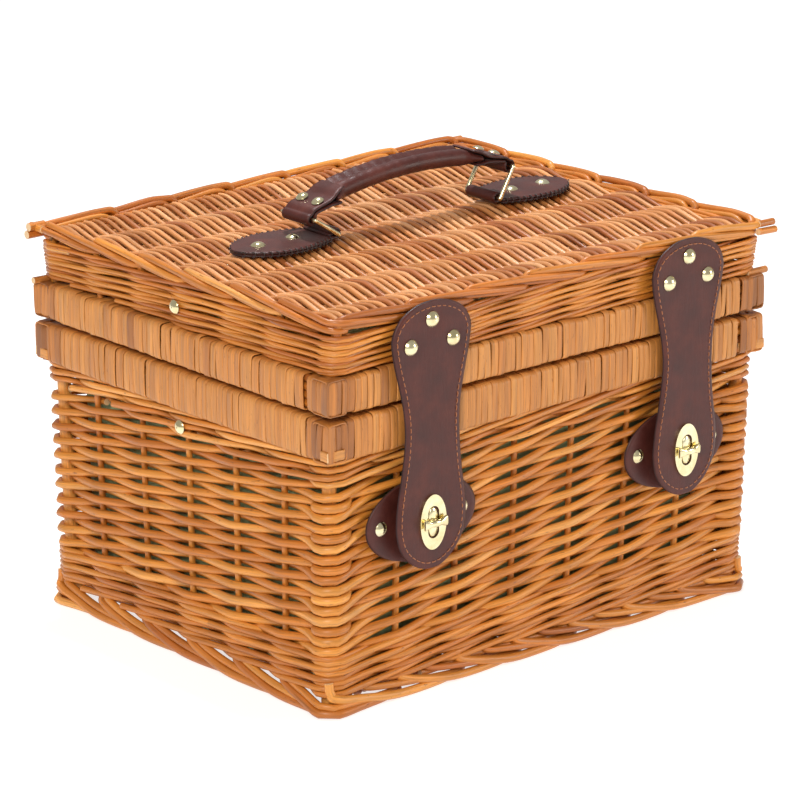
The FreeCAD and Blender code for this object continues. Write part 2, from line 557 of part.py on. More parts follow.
S0, S1 = 0.105, 0.895
outer = tube(S0, S1, D["grip_dia"] / 2)
inner = tube(S0, S1, D["grip_dia"] / 2 - 2.0)
core = tube(S0, S1, D["grip_dia"] / 2 - 2.1)
hollow = outer.cut(inner)
hollow.translate(V(0, YS + HY, 0))
core.translate(V(0, YS + HY, 0))
keep(feature("grip_cover", hollow), "grip_leather")
keep(feature("grip_cord", core), "grip_core")
for tag, share, sgn in (("left", S0, 1), ("right", S1, -1)):
    p, tg = on_arc(share)
    tg = tg if tg.x * sgn > 0 else tg * -1
    bx, bz = bars[tag]
    n = V(-tg.z, 0, tg.x)
    if n.z < 0:
        n = n * -1
    q = p - tg * 0.15
    # end piece: wedge of folded leather from the tube's end face down to the roll round the ring bar
    e0 = on_arc(0.0 if tag == "left" else 1.0)[0]
    prof = [q + n * 4.6, q - n * 4.6, V(bx, 0, bz) + V(0.6 * sgn, 0, -3.7), V(bx - 3.2 * sgn, 0, bz + 0.8), e0 + n * 2.4 - tg * 1.5]
    wire = Part.makePolygon(prof + [prof[0]])
    s = Part.Face(wire).extrude(V(0, 27.6, 0))
    s.translate(V(0, -13.8 + YS + HY, 0))
    if s.Volume < 0:
        s.reverse()
    roll = Part.makeCylinder(3.9, 27.6, V(bx, -13.8 + YS + HY, bz), V(0, 1, 0))
    s = s.fuse(roll).removeSplitter()
    s = s.cut(Part.makeCylinder(D["wire_dia"] / 2 + 0.9, 60, V(bx, -30.0 + YS + HY, bz), V(0, 1, 0)))
    keep(feature("grip_end_" + tag, s), "grip_end_" + tag)
    if tag == "left":
        grip_rv = []
    top_mid = (prof[0] + prof[4]) * 0.5
    dirn = prof[0] - prof[4]
    up_n = V(-dirn.z, 0, dirn.x)
    up_n.normalize()
    if up_n.z < 0:
        up_n = up_n * -1
    for yy in (-7.5, 7.5):
        rv = dome(4.0, 1.9, 1.0, 0.02)
        if rv.Volume < 0:
            rv.reverse()
        o = top_mid + up_n * 0.03 + V(0, yy + YS + HY, 0)
        rv.Placement = PL(o, R(V(0, 0, 1), up_n))
        grip_rv.append(rv)
keep(feature("grip_riv", Part.makeCompound(grip_rv)), "grip_rivets")

# ---------------------------------------------------------------- checks and files
doc.recompute()
bad = [o.Name for o in doc.Objects if "Invalid" in o.State or "Error" in o.State]
if bad:
    raise SystemExit("objects that failed to compute: %s" % bad)
for o in KEEP:
    sh = o.Shape
    if sh.isNull() or not sh.isValid() or not sh.Solids or any(s.Volume <= 0 for s in sh.Solids):
        raise SystemExit("bad shape: %s" % o.Label)
labels = [o.Label for o in KEEP]
if len(labels) != len(set(labels)):
    raise SystemExit("two sub-parts share a label: %s" % sorted(x for x in labels if labels.count(x) > 1))
os.makedirs("parts", exist_ok=True)
total = 0.0
for o in KEEP:
    o.Shape.exportStep("parts/%s.step" % o.Label)
    b = o.Shape.BoundBox
    total += o.Shape.Volume
    print("%-22s solids %2d  volume %9.0f mm3  box %7.1f..%7.1f %7.1f..%7.1f %7.1f..%7.1f" % (
        o.Label, len(o.Shape.Solids), o.Shape.Volume, b.XMin, b.XMax, b.YMin, b.YMax, b.ZMin, b.ZMax))
print("ring bars left %s right %s, bar height %.2f" % (bars["left"], bars["right"], bar_z))
print("nodes", len(KEEP), "total volume", round(total))
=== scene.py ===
import math
import bpy
import numpy as np
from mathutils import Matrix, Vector

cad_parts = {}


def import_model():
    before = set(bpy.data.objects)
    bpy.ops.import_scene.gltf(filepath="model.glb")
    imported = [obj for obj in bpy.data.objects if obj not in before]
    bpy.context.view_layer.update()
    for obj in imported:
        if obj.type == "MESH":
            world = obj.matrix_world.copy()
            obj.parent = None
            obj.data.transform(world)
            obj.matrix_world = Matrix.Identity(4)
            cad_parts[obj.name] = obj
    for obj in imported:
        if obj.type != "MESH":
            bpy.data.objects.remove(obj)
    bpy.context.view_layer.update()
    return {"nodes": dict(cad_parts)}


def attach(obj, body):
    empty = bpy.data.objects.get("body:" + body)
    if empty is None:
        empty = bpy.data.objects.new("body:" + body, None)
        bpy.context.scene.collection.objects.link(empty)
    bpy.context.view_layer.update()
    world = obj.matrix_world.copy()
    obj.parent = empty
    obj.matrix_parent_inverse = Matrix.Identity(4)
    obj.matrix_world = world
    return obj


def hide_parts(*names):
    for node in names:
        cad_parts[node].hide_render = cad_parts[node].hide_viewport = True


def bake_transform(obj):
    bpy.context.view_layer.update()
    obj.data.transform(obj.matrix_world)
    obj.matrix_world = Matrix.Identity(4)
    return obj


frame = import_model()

rng = np.random.default_rng(41)

# All shapes are worked out in millimetres about the basket's own bottom centre; the row frame is 4 mm behind it.
SHIFT = np.array((0.0, 4.0, 0.0))


def world(P):
    return (np.asarray(P, float) + SHIFT) * 0.001


# ------------------------------------------------------------------ mesh building
class Soup:
    """Many swept pieces joined into one mesh. Each keeps its own tone and its own lengthwise coordinates."""

    def __init__(self):
        self.v, self.q, self.t, self.rod, self.tone, self.cut = [], [], [], [], [], []
        self.n = 0

    def put(self, v, rod, tone, cut):
        at = self.n
        self.v.append(v)
        self.rod.append(rod)
        self.tone.append(np.broadcast_to(np.asarray(tone, float), (len(v),)))
        self.cut.append(np.broadcast_to(np.asarray(cut, float), (len(v),)))
        self.n += len(v)
        return at

    def sweep(self, P, ra, rb=None, up=(0, 0, 1), tone=None, sides=8, power=1.0, transport=True,
              closed=False, caps=True, dome=0.0):
        P = np.asarray(P, float)
        n = len(P)
        ra = np.broadcast_to(np.asarray(ra, float), (n,))
        rb = ra if rb is None else np.broadcast_to(np.asarray(rb, float), (n,))
        if closed:
            T = np.roll(P, -1, 0) - np.roll(P, 1, 0)
        else:
            T = np.gradient(P, axis=0)
        T /= np.linalg.norm(T, axis=1)[:, None] + 1e-12
        U = np.broadcast_to(np.asarray(up, float), (n, 3)).copy()
        if transport and not closed:
            u = U[0]
            for i in range(n):
                u = u - T[i] * (u @ T[i])
                u = u / (np.linalg.norm(u) + 1e-12)
                U[i] = u
        else:
            U = U - T * (U * T).sum(1)[:, None]
            U /= np.linalg.norm(U, axis=1)[:, None] + 1e-12
        N2 = np.cross(T, U)
        th = np.arange(sides) * 2 * math.pi / sides + math.pi / sides
        c, s = np.cos(th), np.sin(th)
        if power != 1.0:
            c = np.sign(c) * np.abs(c) ** power
            s = np.sign(s) * np.abs(s) ** power
        V = P[:, None, :] + ra[:, None, None] * c[None, :, None] * U[:, None, :] \
            + rb[:, None, None] * s[None, :, None] * N2[:, None, :]
        seg = np.linalg.norm(np.diff(P, axis=0), axis=1)
        along = np.concatenate(([0], np.cumsum(seg))) + rng.uniform(0, 9000)
        rod = np.stack([np.broadcast_to(along[:, None], (n, sides)),
                        ra[:, None] * c[None, :], rb[:, None] * s[None, :]], -1)
        tone = rng.uniform(0, 1) if tone is None else tone
        at = self.put(V.reshape(-1, 3), rod.reshape(-1, 3), tone, 0.0)
        i = np.arange(n if closed else n - 1)[:, None]
        j = np.arange(sides)[None, :]
        i2, j2 = (i + 1) % n, (j + 1) % sides
        f = np.stack([i * sides + j, i * sides + j2, i2 * sides + j2, i2 * sides + j], -1).reshape(-1, 4)
        self.q.append(f + at)
        if caps and not closed:
            for e, sg in ((0, -1), (n - 1, 1)):
                ring = V[e]
                centre = P[e] + T[e] * sg * dome
                rd = np.vstack([rod[e], [[along[e], 0, 0]]])
                b = self.put(np.vstack([ring, centre[None]]), rd, tone, 1.0)
                k = np.arange(sides)
                k2 = (k + 1) % sides
                tri = np.stack([np.full(sides, sides), k2, k] if sg < 0 else [np.full(sides, sides), k, k2], -1)
                self.t.append(tri + b)
        return V

    def mesh(self, name, mat, move=True):
        v = np.concatenate(self.v)
        v = world(v) if move else v
        q = np.concatenate(self.q) if self.q else np.zeros((0, 4), int)
        t = np.concatenate(self.t) if self.t else np.zeros((0, 3), int)
        me = bpy.data.meshes.new(name)
        me.vertices.add(len(v))
        me.vertices.foreach_set("co", v.astype(np.float32).ravel())
        me.loops.add(len(q) * 4 + len(t) * 3)
        me.loops.foreach_set("vertex_index", np.concatenate([q.ravel(), t.ravel()]).astype(np.int32))
        me.polygons.add(len(q) + len(t))
        starts = np.concatenate([np.arange(len(q)) * 4, len(q) * 4 + np.arange(len(t)) * 3])
        me.polygons.foreach_set("loop_start", starts.astype(np.int32))
        me.polygons.foreach_set("use_smooth", np.concatenate([np.ones(len(q), bool), np.zeros(len(t), bool)]))
        a = me.attributes.new("rod", "FLOAT_VECTOR", "POINT")
        a.data.foreach_set("vector", np.concatenate(self.rod).astype(np.float32).ravel())
        for key, val in (("tone", self.tone), ("cut", self.cut)):
            a = me.attributes.new(key, "FLOAT", "POINT")
            a.data.foreach_set("value", np.concatenate(val).astype(np.float32))
        me.update(calc_edges=True)
        me.validate()
        ob = bpy.data.objects.new(name, me)
        bpy.context.scene.collection.objects.link(ob)
        me.materials.append(mat)
        return ob


def catmull(pts, per=10):
    """Smooth line through the given points, any number of columns."""
    p = np.asarray(pts, float)
    p = np.vstack([2 * p[0] - p[1], p, 2 * p[-1] - p[-2]])
    out = []
    t = np.linspace(0, 1, per, endpoint=False)[:, None]
    for i in range(1, len(p) - 2):
        a, b, c, d = p[i - 1], p[i], p[i + 1], p[i + 2]
        out.append(0.5 * ((2 * b) + (c - a) * t + (2 * a - 5 * b + 4 * c - d) * t ** 2 + (3 * b - a - 3 * c + d) * t ** 3))
    out.append(p[-2][None])
    return np.vstack(out)


def periodic(vals, size=240):
    """Closed smooth curve through evenly spaced values, as a lookup table over 0..1."""
    v = np.asarray(vals, float)
    k = len(v)
    out = []
    per = size // k
    t = np.linspace(0, 1, per, endpoint=False)
    for i in range(k):
        a, b, c, d = v[i - 1], v[i], v[(i + 1) % k], v[(i + 2) % k]
        out.append(0.5 * ((2 * b) + (c - a) * t + (2 * a - 5 * b + 4 * c - d) * t ** 2 + (3 * b - a - 3 * c + d) * t ** 3))
    tab = np.concatenate(out)
    x = np.arange(len(tab) + 1) / len(tab)
    return lambda u: np.interp(np.mod(u, 1.0), x, np.append(tab, tab[0]))


def drift(s, size, scale, seed):
    """Slow smooth wander along a line, the same each run."""
    r = np.random.default_rng(seed)
    out = np.zeros_like(s)
    for k in range(3):
        out += np.sin(s / scale * (1.0 + 0.83 * k) + r.uniform(0, 6.3)) / (1 + k)
    return out * size * 0.6


class Loop:
    """Closed rounded rectangle seen from above, anticlockwise, from the middle of the front left corner."""

    def __init__(self, hx, hy, rc, fronts, sides):
        pts = []
        centres = ((-1, -1, 180), (1, -1, 270), (1, 1, 0), (-1, 1, 90))
        arc = []
        for sx, sy, a0 in centres:
            a = np.radians(a0 + np.linspace(0, 90, 17))
            arc.append(np.stack([sx * (hx - rc) + rc * np.cos(a), sy * (hy - rc) + rc * np.sin(a), np.cos(a), np.sin(a)], -1))
        seq = [arc[0][8:]]
        for k in (1, 2, 3):
            seq.append(arc[k])
        seq.append(arc[0][:9])
        P = np.vstack(seq)
        # straight runs get points of their own, so that the normals stay square to them
        full = [P[0]]
        for a, b in zip(P[:-1], P[1:]):
            d = math.hypot(b[0] - a[0], b[1] - a[1])
            if d > 20:
                full.append(np.array([*(a[:2] + (b[:2] - a[:2]) * 0.002), *b[2:]]) if False else a)
                full.append(b)
            else:
                full.append(b)
        P = np.array(full)
        seg = np.hypot(*np.diff(P[:, :2], axis=0).T)
        keep = np.concatenate(([True], seg > 1e-9))
        P = P[keep]
        seg = np.hypot(*np.diff(P[:, :2], axis=0).T)
        self.s = np.concatenate(([0], np.cumsum(seg)))
        self.P, self.L, self.hx, self.hy, self.rc = P, self.s[-1], hx, hy, rc
        q = rc * math.pi / 4
        a = q + (hx - rc)
        b = a + (hx - rc) + 2 * q + (hy - rc)
        c = b + (hy - rc) + 2 * q + (hx - rc)
        d = c + (hx - rc) + 2 * q + (hy - rc)
        self.corners = [0, a + (hx - rc) + q, b + (hy - rc) + q, c + (hx - rc) + q]
        marks = [0] + [a + x for x in fronts] + [self.corners[1]] + [b + y for y in sides] + [self.corners[2]] \
            + [c - x for x in fronts[::-1]] + [self.corners[3]] + [d - y for y in sides[::-1]]
        self.marks = np.array(marks + [self.L])
        self.N = len(marks)

    def s_of(self, n):
        n = np.asarray(n, float)
        turn = np.floor(n / self.N)
        return np.interp(n - turn * self.N, np.arange(self.N + 1), self.marks) + turn * self.L

    def at_s(self, s, off, z, fx=1.0, fy=1.0):
        s = np.mod(s, self.L)
        x, y, nx, ny = (np.interp(s, self.s, self.P[:, k]) for k in range(4))
        m = np.hypot(nx, ny)
        nx, ny = nx / m, ny / m
        return np.stack(np.broadcast_arrays(x * fx + nx * off, y * fy + ny * off, z), -1)

    def at(self, n, off, z, fx=1.0, fy=1.0):
        return self.at_s(self.s_of(n), off, z, fx, fy)

    def frame_at(self, s):
        s = s % self.L
        x, y, nx, ny = (float(np.interp(s, self.s, self.P[:, k])) for k in range(4))
        m = math.hypot(nx, ny)
        return np.array((x, y, 0.0)), np.array((nx / m, ny / m, 0.0)), np.array((-ny / m, nx / m, 0.0))


FX = [(k - 2.5) * 47.0 for k in range(6)]
FY = [(k - 2) * 45.5 for k in range(5)]
LY = [(k - 2) * 44.0 for k in range(5)]


def wx(z):
    return (175.0 + 2.5 * z / 162.0 - 6.5) / 169.75


def wy(z):
    return (135.5 + 4.5 * z / 162.0 - 6.5) / 131.25


def lxs(z):
    return (177.0 - 0.5 * (z - 214) / 26 - 6.0) / 170.75


def lys(z):
    return (142.0 + 4.5 * (z - 214) / 26 - 6.0) / 138.25


WALL = Loop(169.75, 131.25, 4.2, FX, FY)
LIDW = Loop(170.75, 138.25, 4.2, FX, LY)
FOOT = Loop(170.6, 132.1, 2.4, FX, FY)


# ------------------------------------------------------------------ materials
def lin(r, g, b, k=1.0):
    def f(c):
        c = c / 255.0
        return c / 12.92 if c <= 0.04045 else ((c + 0.055) / 1.055) ** 2.4
    return (f(r) * k, f(g) * k, f(b) * k, 1.0)


class Mat:
    def __init__(self, name):
        self.m = bpy.data.materials.new(name)
        self.m.use_nodes = True
        self.nt = self.m.node_tree
        self.nt.nodes.clear()
        self.out = self.nt.nodes.new("ShaderNodeOutputMaterial")
        self.p = self.nt.nodes.new("ShaderNodeBsdfPrincipled")
        self.nt.links.new(self.p.outputs[0], self.out.inputs[0])

    def node(self, kind, **props):
        n = self.nt.nodes.new("ShaderNode" + kind)
        for k, v in props.items():
            setattr(n, k, v)
        return n

    def link(self, a, b):
        self.nt.links.new(a, b)

    def attr(self, name, out="Fac"):
        n = self.node("Attribute", attribute_name=name, attribute_type="GEOMETRY")
        return n.outputs[out]

    def scaled(self, vec, k):
        n = self.node("VectorMath", operation="MULTIPLY")
        self.link(vec, n.inputs[0])
        n.inputs[1].default_value = k
        return n.outputs[0]

    def noise(self, vec, scale=1.0, detail=3.0, rough=0.55, distortion=0.0):
        n = self.node("TexNoise")
        if vec is not None:
            self.link(vec, n.inputs["Vector"])
        n.inputs["Scale"].default_value = scale
        n.inputs["Detail"].default_value = detail
        n.inputs["Roughness"].default_value = rough
        n.inputs["Distortion"].default_value = distortion
        return n.outputs["Fac"]

    def ramp(self, fac, stops):
        n = self.node("ValToRGB")
        e = n.color_ramp.elements
        while len(e) < len(stops):
            e.new(0.5)
        for el, (pos, col) in zip(e, stops):
            el.position = pos
            el.color = col
        self.link(fac, n.inputs[0])
        return n.outputs[0]

    def math(self, op, a, b=None, clamp=False):
        n = self.node("Math", operation=op, use_clamp=clamp)
        for i, x in enumerate((a, b)):
            if x is None:
                continue
            if isinstance(x, (int, float)):
                n.inputs[i].default_value = x
            else:
                self.link(x, n.inputs[i])
        return n.outputs[0]

    def remap(self, x, a, b, c, d):
        n = self.node("MapRange")
        self.link(x, n.inputs[0])
        for i, v in zip((1, 2, 3, 4), (a, b, c, d)):
            n.inputs[i].default_value = v
        return n.outputs[0]

    def mix(self, fac, a, b, blend="MIX"):
        n = self.node("Mix", data_type="RGBA", blend_type=blend)
        for i, x in ((0, fac), (6, a), (7, b)):
            if isinstance(x, (int, float)):
                n.inputs[i].default_value = x
            elif isinstance(x, tuple):
                n.inputs[i].default_value = x
            else:
                self.link(x, n.inputs[i])
        return n.outputs[2]

    def bump(self, height, strength, distance):
        n = self.node("Bump")
        n.inputs["Strength"].default_value = strength
        n.inputs["Distance"].default_value = distance
        self.link(height, n.inputs["Height"])
        self.link(n.outputs[0], self.p.inputs["Normal"])

    def set(self, **kw):
        for k, v in kw.items():
            self.p.inputs[k.replace("_", " ")].default_value = v


def rod_material(name, stops, streak=(0.72, 1.16), rough=(0.34, 0.52), fleck=0.5, coat=0.3, pale=(236, 206, 160)):
    m = Mat(name)
    rod = m.attr("rod", "Vector")
    base = m.ramp(m.attr("tone"), stops)
    grain = m.noise(m.scaled(rod, (0.035, 0.9, 0.9)), 1.0, 4.0, 0.6)
    patch = m.noise(m.scaled(rod, (0.012, 0.12, 0.12)), 1.0, 2.0, 0.5)
    shade = m.math("MULTIPLY", m.remap(grain, 0.25, 0.75, streak[0], streak[1]), m.remap(patch, 0.3, 0.7, 0.86, 1.12))
    n = m.node("VectorMath", operation="SCALE")
    m.link(base, n.inputs[0])
    m.link(shade, n.inputs["Scale"])
    col = n.outputs[0]
    spot = m.noise(m.scaled(rod, (0.22, 0.8, 0.8)), 1.0, 2.0, 0.5)
    col = m.mix(m.remap(spot, 0.66, 0.74, 0.0, fleck), col, lin(98, 48, 22))
    col = m.mix(m.math("MULTIPLY", m.attr("cut"), 0.75), col, lin(*pale))
    m.link(col, m.p.inputs["Base Color"])
    m.link(m.remap(grain, 0.3, 0.7, rough[0], rough[1]), m.p.inputs["Roughness"])
    m.set(Coat_Weight=coat, Coat_Roughness=0.28, Coat_IOR=1.45)
    m.bump(m.math("ADD", grain, m.math("MULTIPLY", patch, 2.0)), 0.35, 0.0004)
    return m.m


WILLOW = rod_material("willow_rod", [
    (0.0, lin(140, 72, 20)), (0.2, lin(178, 98, 28)), (0.5, lin(204, 124, 42)),
    (0.75, lin(220, 144, 56)), (0.92, lin(232, 162, 82)), (1.0, lin(164, 90, 34))],
    streak=(0.6, 1.24), rough=(0.36, 0.56), fleck=0.6, coat=0.22)
# Paler, pinker copy of the willow for the lid's top face: painted sheen, the top made lighter to stand in for the
# overhead lamp falling on it.
WILLOW_TOP_PAINTED_SHEEN = rod_material("willow_top_painted_sheen_rod", [
    (0.0, lin(148, 80, 34)), (0.2, lin(178, 104, 50)), (0.5, lin(202, 134, 76)),
    (0.75, lin(218, 152, 96)), (0.92, lin(230, 170, 118)), (1.0, lin(172, 100, 52))],
    streak=(0.66, 1.2), rough=(0.36, 0.54), fleck=0.5, coat=0.22)
CANE = rod_material("split_cane", [
    (0.0, lin(140, 84, 38)), (0.2, lin(186, 116, 52)), (0.55, lin(202, 132, 62)),
    (0.8, lin(212, 144, 72)), (1.0, lin(194, 122, 60))], streak=(0.62, 1.2), rough=(0.42, 0.6), fleck=0.45, coat=0.1)


def leather_material(name):
    m = Mat(name)
    flat = m.attr("rod", "Vector")
    mott = m.noise(flat, 0.055, 4.0, 0.6)
    fine = m.noise(flat, 1.3, 3.0, 0.6)
    crease = m.noise(m.scaled(flat, (0.05, 0.28, 0.28)), 1.0, 5.0, 0.65, 0.6)
    col = m.ramp(mott, [(0.3, lin(64, 26, 20)), (0.5, lin(76, 31, 24)), (0.72, lin(92, 41, 31))])
    col = m.mix(m.remap(fine, 0.35, 0.7, 0.0, 0.35), col, lin(57, 27, 23))
    edge = m.attr("cut")
    col = m.mix(m.remap(edge, 0.72, 0.98, 0.0, 0.85), col, lin(42, 36, 40))
    m.link(col, m.p.inputs["Base Color"])
    m.link(m.remap(mott, 0.3, 0.7, 0.36, 0.5), m.p.inputs["Roughness"])
    m.set(Sheen_Weight=0.03, Sheen_Roughness=0.4, Specular_IOR_Level=0.36)
    m.bump(m.math("ADD", m.math("MULTIPLY", fine, 0.5), m.math("MULTIPLY", crease, 0.9)), 0.35, 0.0006)
    return m.m


LEATHER = leather_material("brown_leather")


def brass_material(name, wear=0.5):
    m = Mat(name)
    obj = m.node("TexCoord").outputs["Object"]
    cloud = m.noise(obj, 90.0, 3.0, 0.6)
    fine = m.noise(obj, 900.0, 2.0, 0.5)
    col = m.ramp(cloud, [(0.3, lin(222, 206, 156)), (0.55, lin(238, 226, 184)), (0.75, lin(246, 240, 208))])
    m.link(col, m.p.inputs["Base Color"])
    m.set(Metallic=1.0)
    m.link(m.remap(cloud, 0.3, 0.7, 0.16, 0.28), m.p.inputs["Roughness"])
    m.bump(fine, 0.06 * wear, 0.0002)
    return m.m


BRASS = brass_material("pale_brass")


def cloth_material(name, a, b, pitch=1.0, rough=0.85):
    m = Mat(name)
    flat = m.attr("rod", "Vector")
    w1 = m.node("TexWave", wave_type="BANDS", bands_direction="X")
    w2 = m.node("TexWave", wave_type="BANDS", bands_direction="Y")
    for w in (w1, w2):
        m.link(flat, w.inputs["Vector"])
        w.inputs["Scale"].default_value = pitch
        w.inputs["Distortion"].default_value = 1.2
        w.inputs["Detail"].default_value = 2.0
        w.inputs["Detail Scale"].default_value = 2.0
    weave = m.math("MULTIPLY", w1.outputs["Fac"], w2.outputs["Fac"])
    cloud = m.noise(flat, 0.03, 3.0, 0.6)
    col = m.mix(m.remap(weave, 0.0, 0.8, 0.0, 1.0), a, b)
    n = m.node("VectorMath", operation="SCALE")
    m.link(col, n.inputs[0])
    m.link(m.remap(cloud, 0.3, 0.7, 0.93, 1.06), n.inputs["Scale"])
    m.link(n.outputs[0], m.p.inputs["Base Color"])
    m.set(Roughness=rough, Sheen_Weight=0.3, Sheen_Roughness=0.5)
    m.bump(weave, 0.4, 0.0004)
    return m.m


LINING = cloth_material("green_lining", lin(152, 180, 126), lin(190, 210, 162))
WEBBING = cloth_material("cotton_webbing", lin(128, 104, 76), lin(176, 150, 112), 1.4)


def thread_material(name, dark=False):
    m = Mat(name)
    cols = [(0.3, lin(34, 26, 26)), (0.6, lin(50, 38, 36)), (0.8, lin(66, 50, 46))] if dark else [(0.3, lin(124, 68, 34)), (0.6, lin(168, 98, 50)), (0.8, lin(190, 116, 64))]
    rod = m.attr("rod", "Vector")
    twist = m.noise(m.scaled(rod, (3.0, 2.0, 2.0)), 1.0, 2.0, 0.5)
    m.link(m.ramp(twist, cols), m.p.inputs["Base Color"])
    m.set(Roughness=0.6, Sheen_Weight=0.2)
    m.bump(twist, 0.3, 0.0002)
    return m.m


THREAD = thread_material("waxed_thread")
DARK_THREAD = thread_material("dark_thread", True)


def tone(mid=0.5, wide=0.28):
    return float(np.clip(rng.normal(mid, wide), 0.0, 1.0))


def done(ob, body, nodes):
    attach(ob, body)
    if nodes:
        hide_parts(*nodes)
    return ob


# ------------------------------------------------------------------ stakes
def stakes(loop, fx, fy, which, z0, z1, r, corner=False):
    s = Soup()
    for i in which:
        z = np.linspace(z0, z1, 22)
        wob = drift(z, 0.5, 22, 100 + i + int(z0))
        P = loop.at(np.full_like(z, i) + wob * 0.008, wob * 0.4 - (1.3 if corner else 0.0), z, fx(z), fy(z))
        k = rng.uniform(0.94, 1.05)
        s.sweep(P, r * k * np.linspace(1.04, 0.96, len(z)), up=(1, 0, 0), tone=tone(0.62, 0.18), sides=12)
    return s


corner_i, front_back = [0, 7, 13, 20], list(range(1, 7)) + list(range(14, 20))
left_right = list(range(8, 13)) + list(range(21, 26))
done(stakes(WALL, wx, wy, front_back, 6.5, 163.5, 2.0).mesh("stake_rods_front_back", WILLOW), "base", ["stakes_front_back"])
done(stakes(WALL, wx, wy, left_right, 6.5, 163.5, 2.0).mesh("stake_rods_left_right", WILLOW), "base", ["stakes_left_right"])
done(stakes(WALL, wx, wy, corner_i, 4.0, 163.5, 4.5, True).mesh("corner_post_rods", WILLOW), "base", ["corner_posts"])
done(stakes(LIDW, lxs, lys, front_back + left_right, 213.0, 243.5, 1.9).mesh("lid_stake_rods", WILLOW), "lid", ["lid_stakes"])
done(stakes(LIDW, lxs, lys, corner_i, 213.0, 246.0, 3.2).mesh("lid_post_rods", WILLOW), "lid", ["lid_corner_posts"])

CORN = np.array(corner_i + [26, 33, 39, 46, 52, 59, 65, 72, 78, 85])


def near_corner(n, wide=0.3, which=(0, 7, 13, 20, 26)):
    n = np.mod(n, 26)
    d = np.min(np.abs(n[:, None] - np.array(which)[None]), axis=1)
    return np.exp(-(d / wide) ** 2)


def zigzag(ph, soft=0.3):
    """1 at even numbers, -1 at odd ones, straight between them and eased at the turns."""
    c = np.cos(math.pi * ph)
    t = 2 / math.pi * np.arcsin(np.clip(c * 0.985, -1, 1)) / (2 / math.pi * math.asin(0.985))
    return soft * c + (1 - soft) * t


# ------------------------------------------------------------------ French randing on the walls
def randing():
    s = Soup()
    P0, z0, top = 9.75, 41.4, 147.6
    per = 13
    corners = np.array([0, 7, 13, 20])
    for i in range(26):
        m = int((top - z0) / P0)
        n = np.arange(i - 0.8, i + 2 * m + 1.2, 1.0 / per)
        ph = n - i
        # half a row for each stake, so the inner strokes fill the gaps between the outer ones
        z = z0 + P0 * 0.5 * ph
        near = near_corner(n, 0.3, (0, 7, 13, 26))
        amp = 3.75 + 1.7 * near_corner(n)
        off = 0.4 + amp * zigzag(ph, 0.3)
        level = np.round(ph / 2)
        z = z - near * 3.25 * (np.mod(level, 2) == 1)
        sl = WALL.s_of(n)
        off = off + drift(sl, 0.3, 30, 300 + i)
        z = z + drift(sl, 0.5, 44, 400 + i) * (1 - 0.7 * near) + rng.uniform(-0.3, 0.3)
        P = WALL.at(n + drift(sl, 0.012, 40, 500 + i), off, z, wx(z), wy(z))
        r = np.linspace(2.66, 2.36, len(n)) * rng.uniform(0.95, 1.06) * (1 + 0.15 * near)
        s.sweep(P, r, tone=tone(0.52, 0.15), sides=10)
    # extra turns round each corner post, one to every second pair
    for c in corners[:3]:
        for q in range(6):
            z = z0 + 13.0 + 19.5 * q
            if z > top - 2:
                continue
            n = np.arange(c - 0.62, c + 0.63, 1.0 / 26)
            off = -4.5 + 9.9 * np.exp(-((n - c) / 0.27) ** 4)
            zz = z + (n - c) * 3.0 + rng.uniform(-0.25, 0.25)
            s.sweep(WALL.at(n, off, zz, wx(zz), wy(zz)), 2.8, tone=tone(0.55, 0.12), sides=10)
    return s


done(randing().mesh("wall_randing_rods", WILLOW), "base",
     ["wall_weave_front", "wall_weave_back", "wall_weave_left", "wall_weave_right"])


# ------------------------------------------------------------------ three-rod waling
def wale(s, loop, fx, fy, z0, z1, dia, rounds, amp, start, seed, mid=0.5, jit=0.35, dip=0.0):
    gap = (z1 - z0 - dia) / (2 * rounds - 1)
    h, pitch = 2 * gap, 2 * gap
    zo = periodic([0.0, -h * 0.46, -h / 4, 0.0, h / 4, h * 0.46])
    ro = periodic([-amp, -dia * 0.45, amp, amp + 0.35, amp, dia * 0.5])
    per = 10
    total = 26 * rounds
    for j in range(3):
        n = np.arange(start + j - 0.5, start + total + 0.6, 1.0 / per)
        m = (n - start) / 26.0
        lev = np.clip(np.floor(m), 0, rounds - 1)
        f = np.clip((m - lev - 0.9) / 0.1, 0, 1)
        lev = np.minimum(lev + f * f * (3 - 2 * f), rounds - 1)
        zc = z0 + dia / 2 + h / 4 + pitch * lev
        u = (n - j) / 3.0
        z = zc + zo(u)
        z = np.clip(z, z0 + dia * 0.42, z1 - dia * 0.42)
        off = ro(u)
        off = off + near_corner(n) * np.sign(off) * 0.7
        sl = loop.s_of(n)
        off = off + drift(sl, 0.3, 31, seed + j)
        z = z + drift(sl, jit, 37, seed + 10 + j)
        # beaten down harder round the corners, most of all in the upper rounds
        z = z - dip * near_corner(n, 1.7) * np.clip((z - z0) / (z1 - z0), 0, 1)
        P = loop.at(n, off, z, fx(z), fy(z))
        # a new rod is pieced in every few strokes, so the tone and thickness change along the line
        cuts = [0]
        while cuts[-1] < len(n) - 1:
            cuts.append(min(len(n) - 1, cuts[-1] + int(rng.integers(13, 22)) * per))
        for a, b in zip(cuts[:-1], cuts[1:]):
            if b - a < 3:
                continue
            r = dia / 2 * np.linspace(1.06, 0.92, b - a + 1) * rng.uniform(0.95, 1.06)
            s.sweep(P[a:b + 1], r, tone=tone(mid, 0.17), sides=10)


up = Soup()
wale(up, WALL, wx, wy, 12.4, 39.4, 3.9, 4, 4.9, 20, 700, 0.5, 0.45)
done(up.mesh("upsett_wale_rods", WILLOW), "base", ["upsett_wale"])
tw = Soup()
wale(tw, WALL, wx, wy, 144.8, 162.6, 3.9, 2, 4.8, 20, 740)
done(tw.mesh("top_wale_rods", WILLOW), "base", ["top_wale"])
lw = Soup()
wale(lw, LIDW, lxs, lys, 213.8, 241.4, 2.75, 6, 3.7, 20, 780, 0.42, 0.75, 2.4)
done(lw.mesh("lid_side_wale_rods", WILLOW), "lid", ["lid_side_wale"])


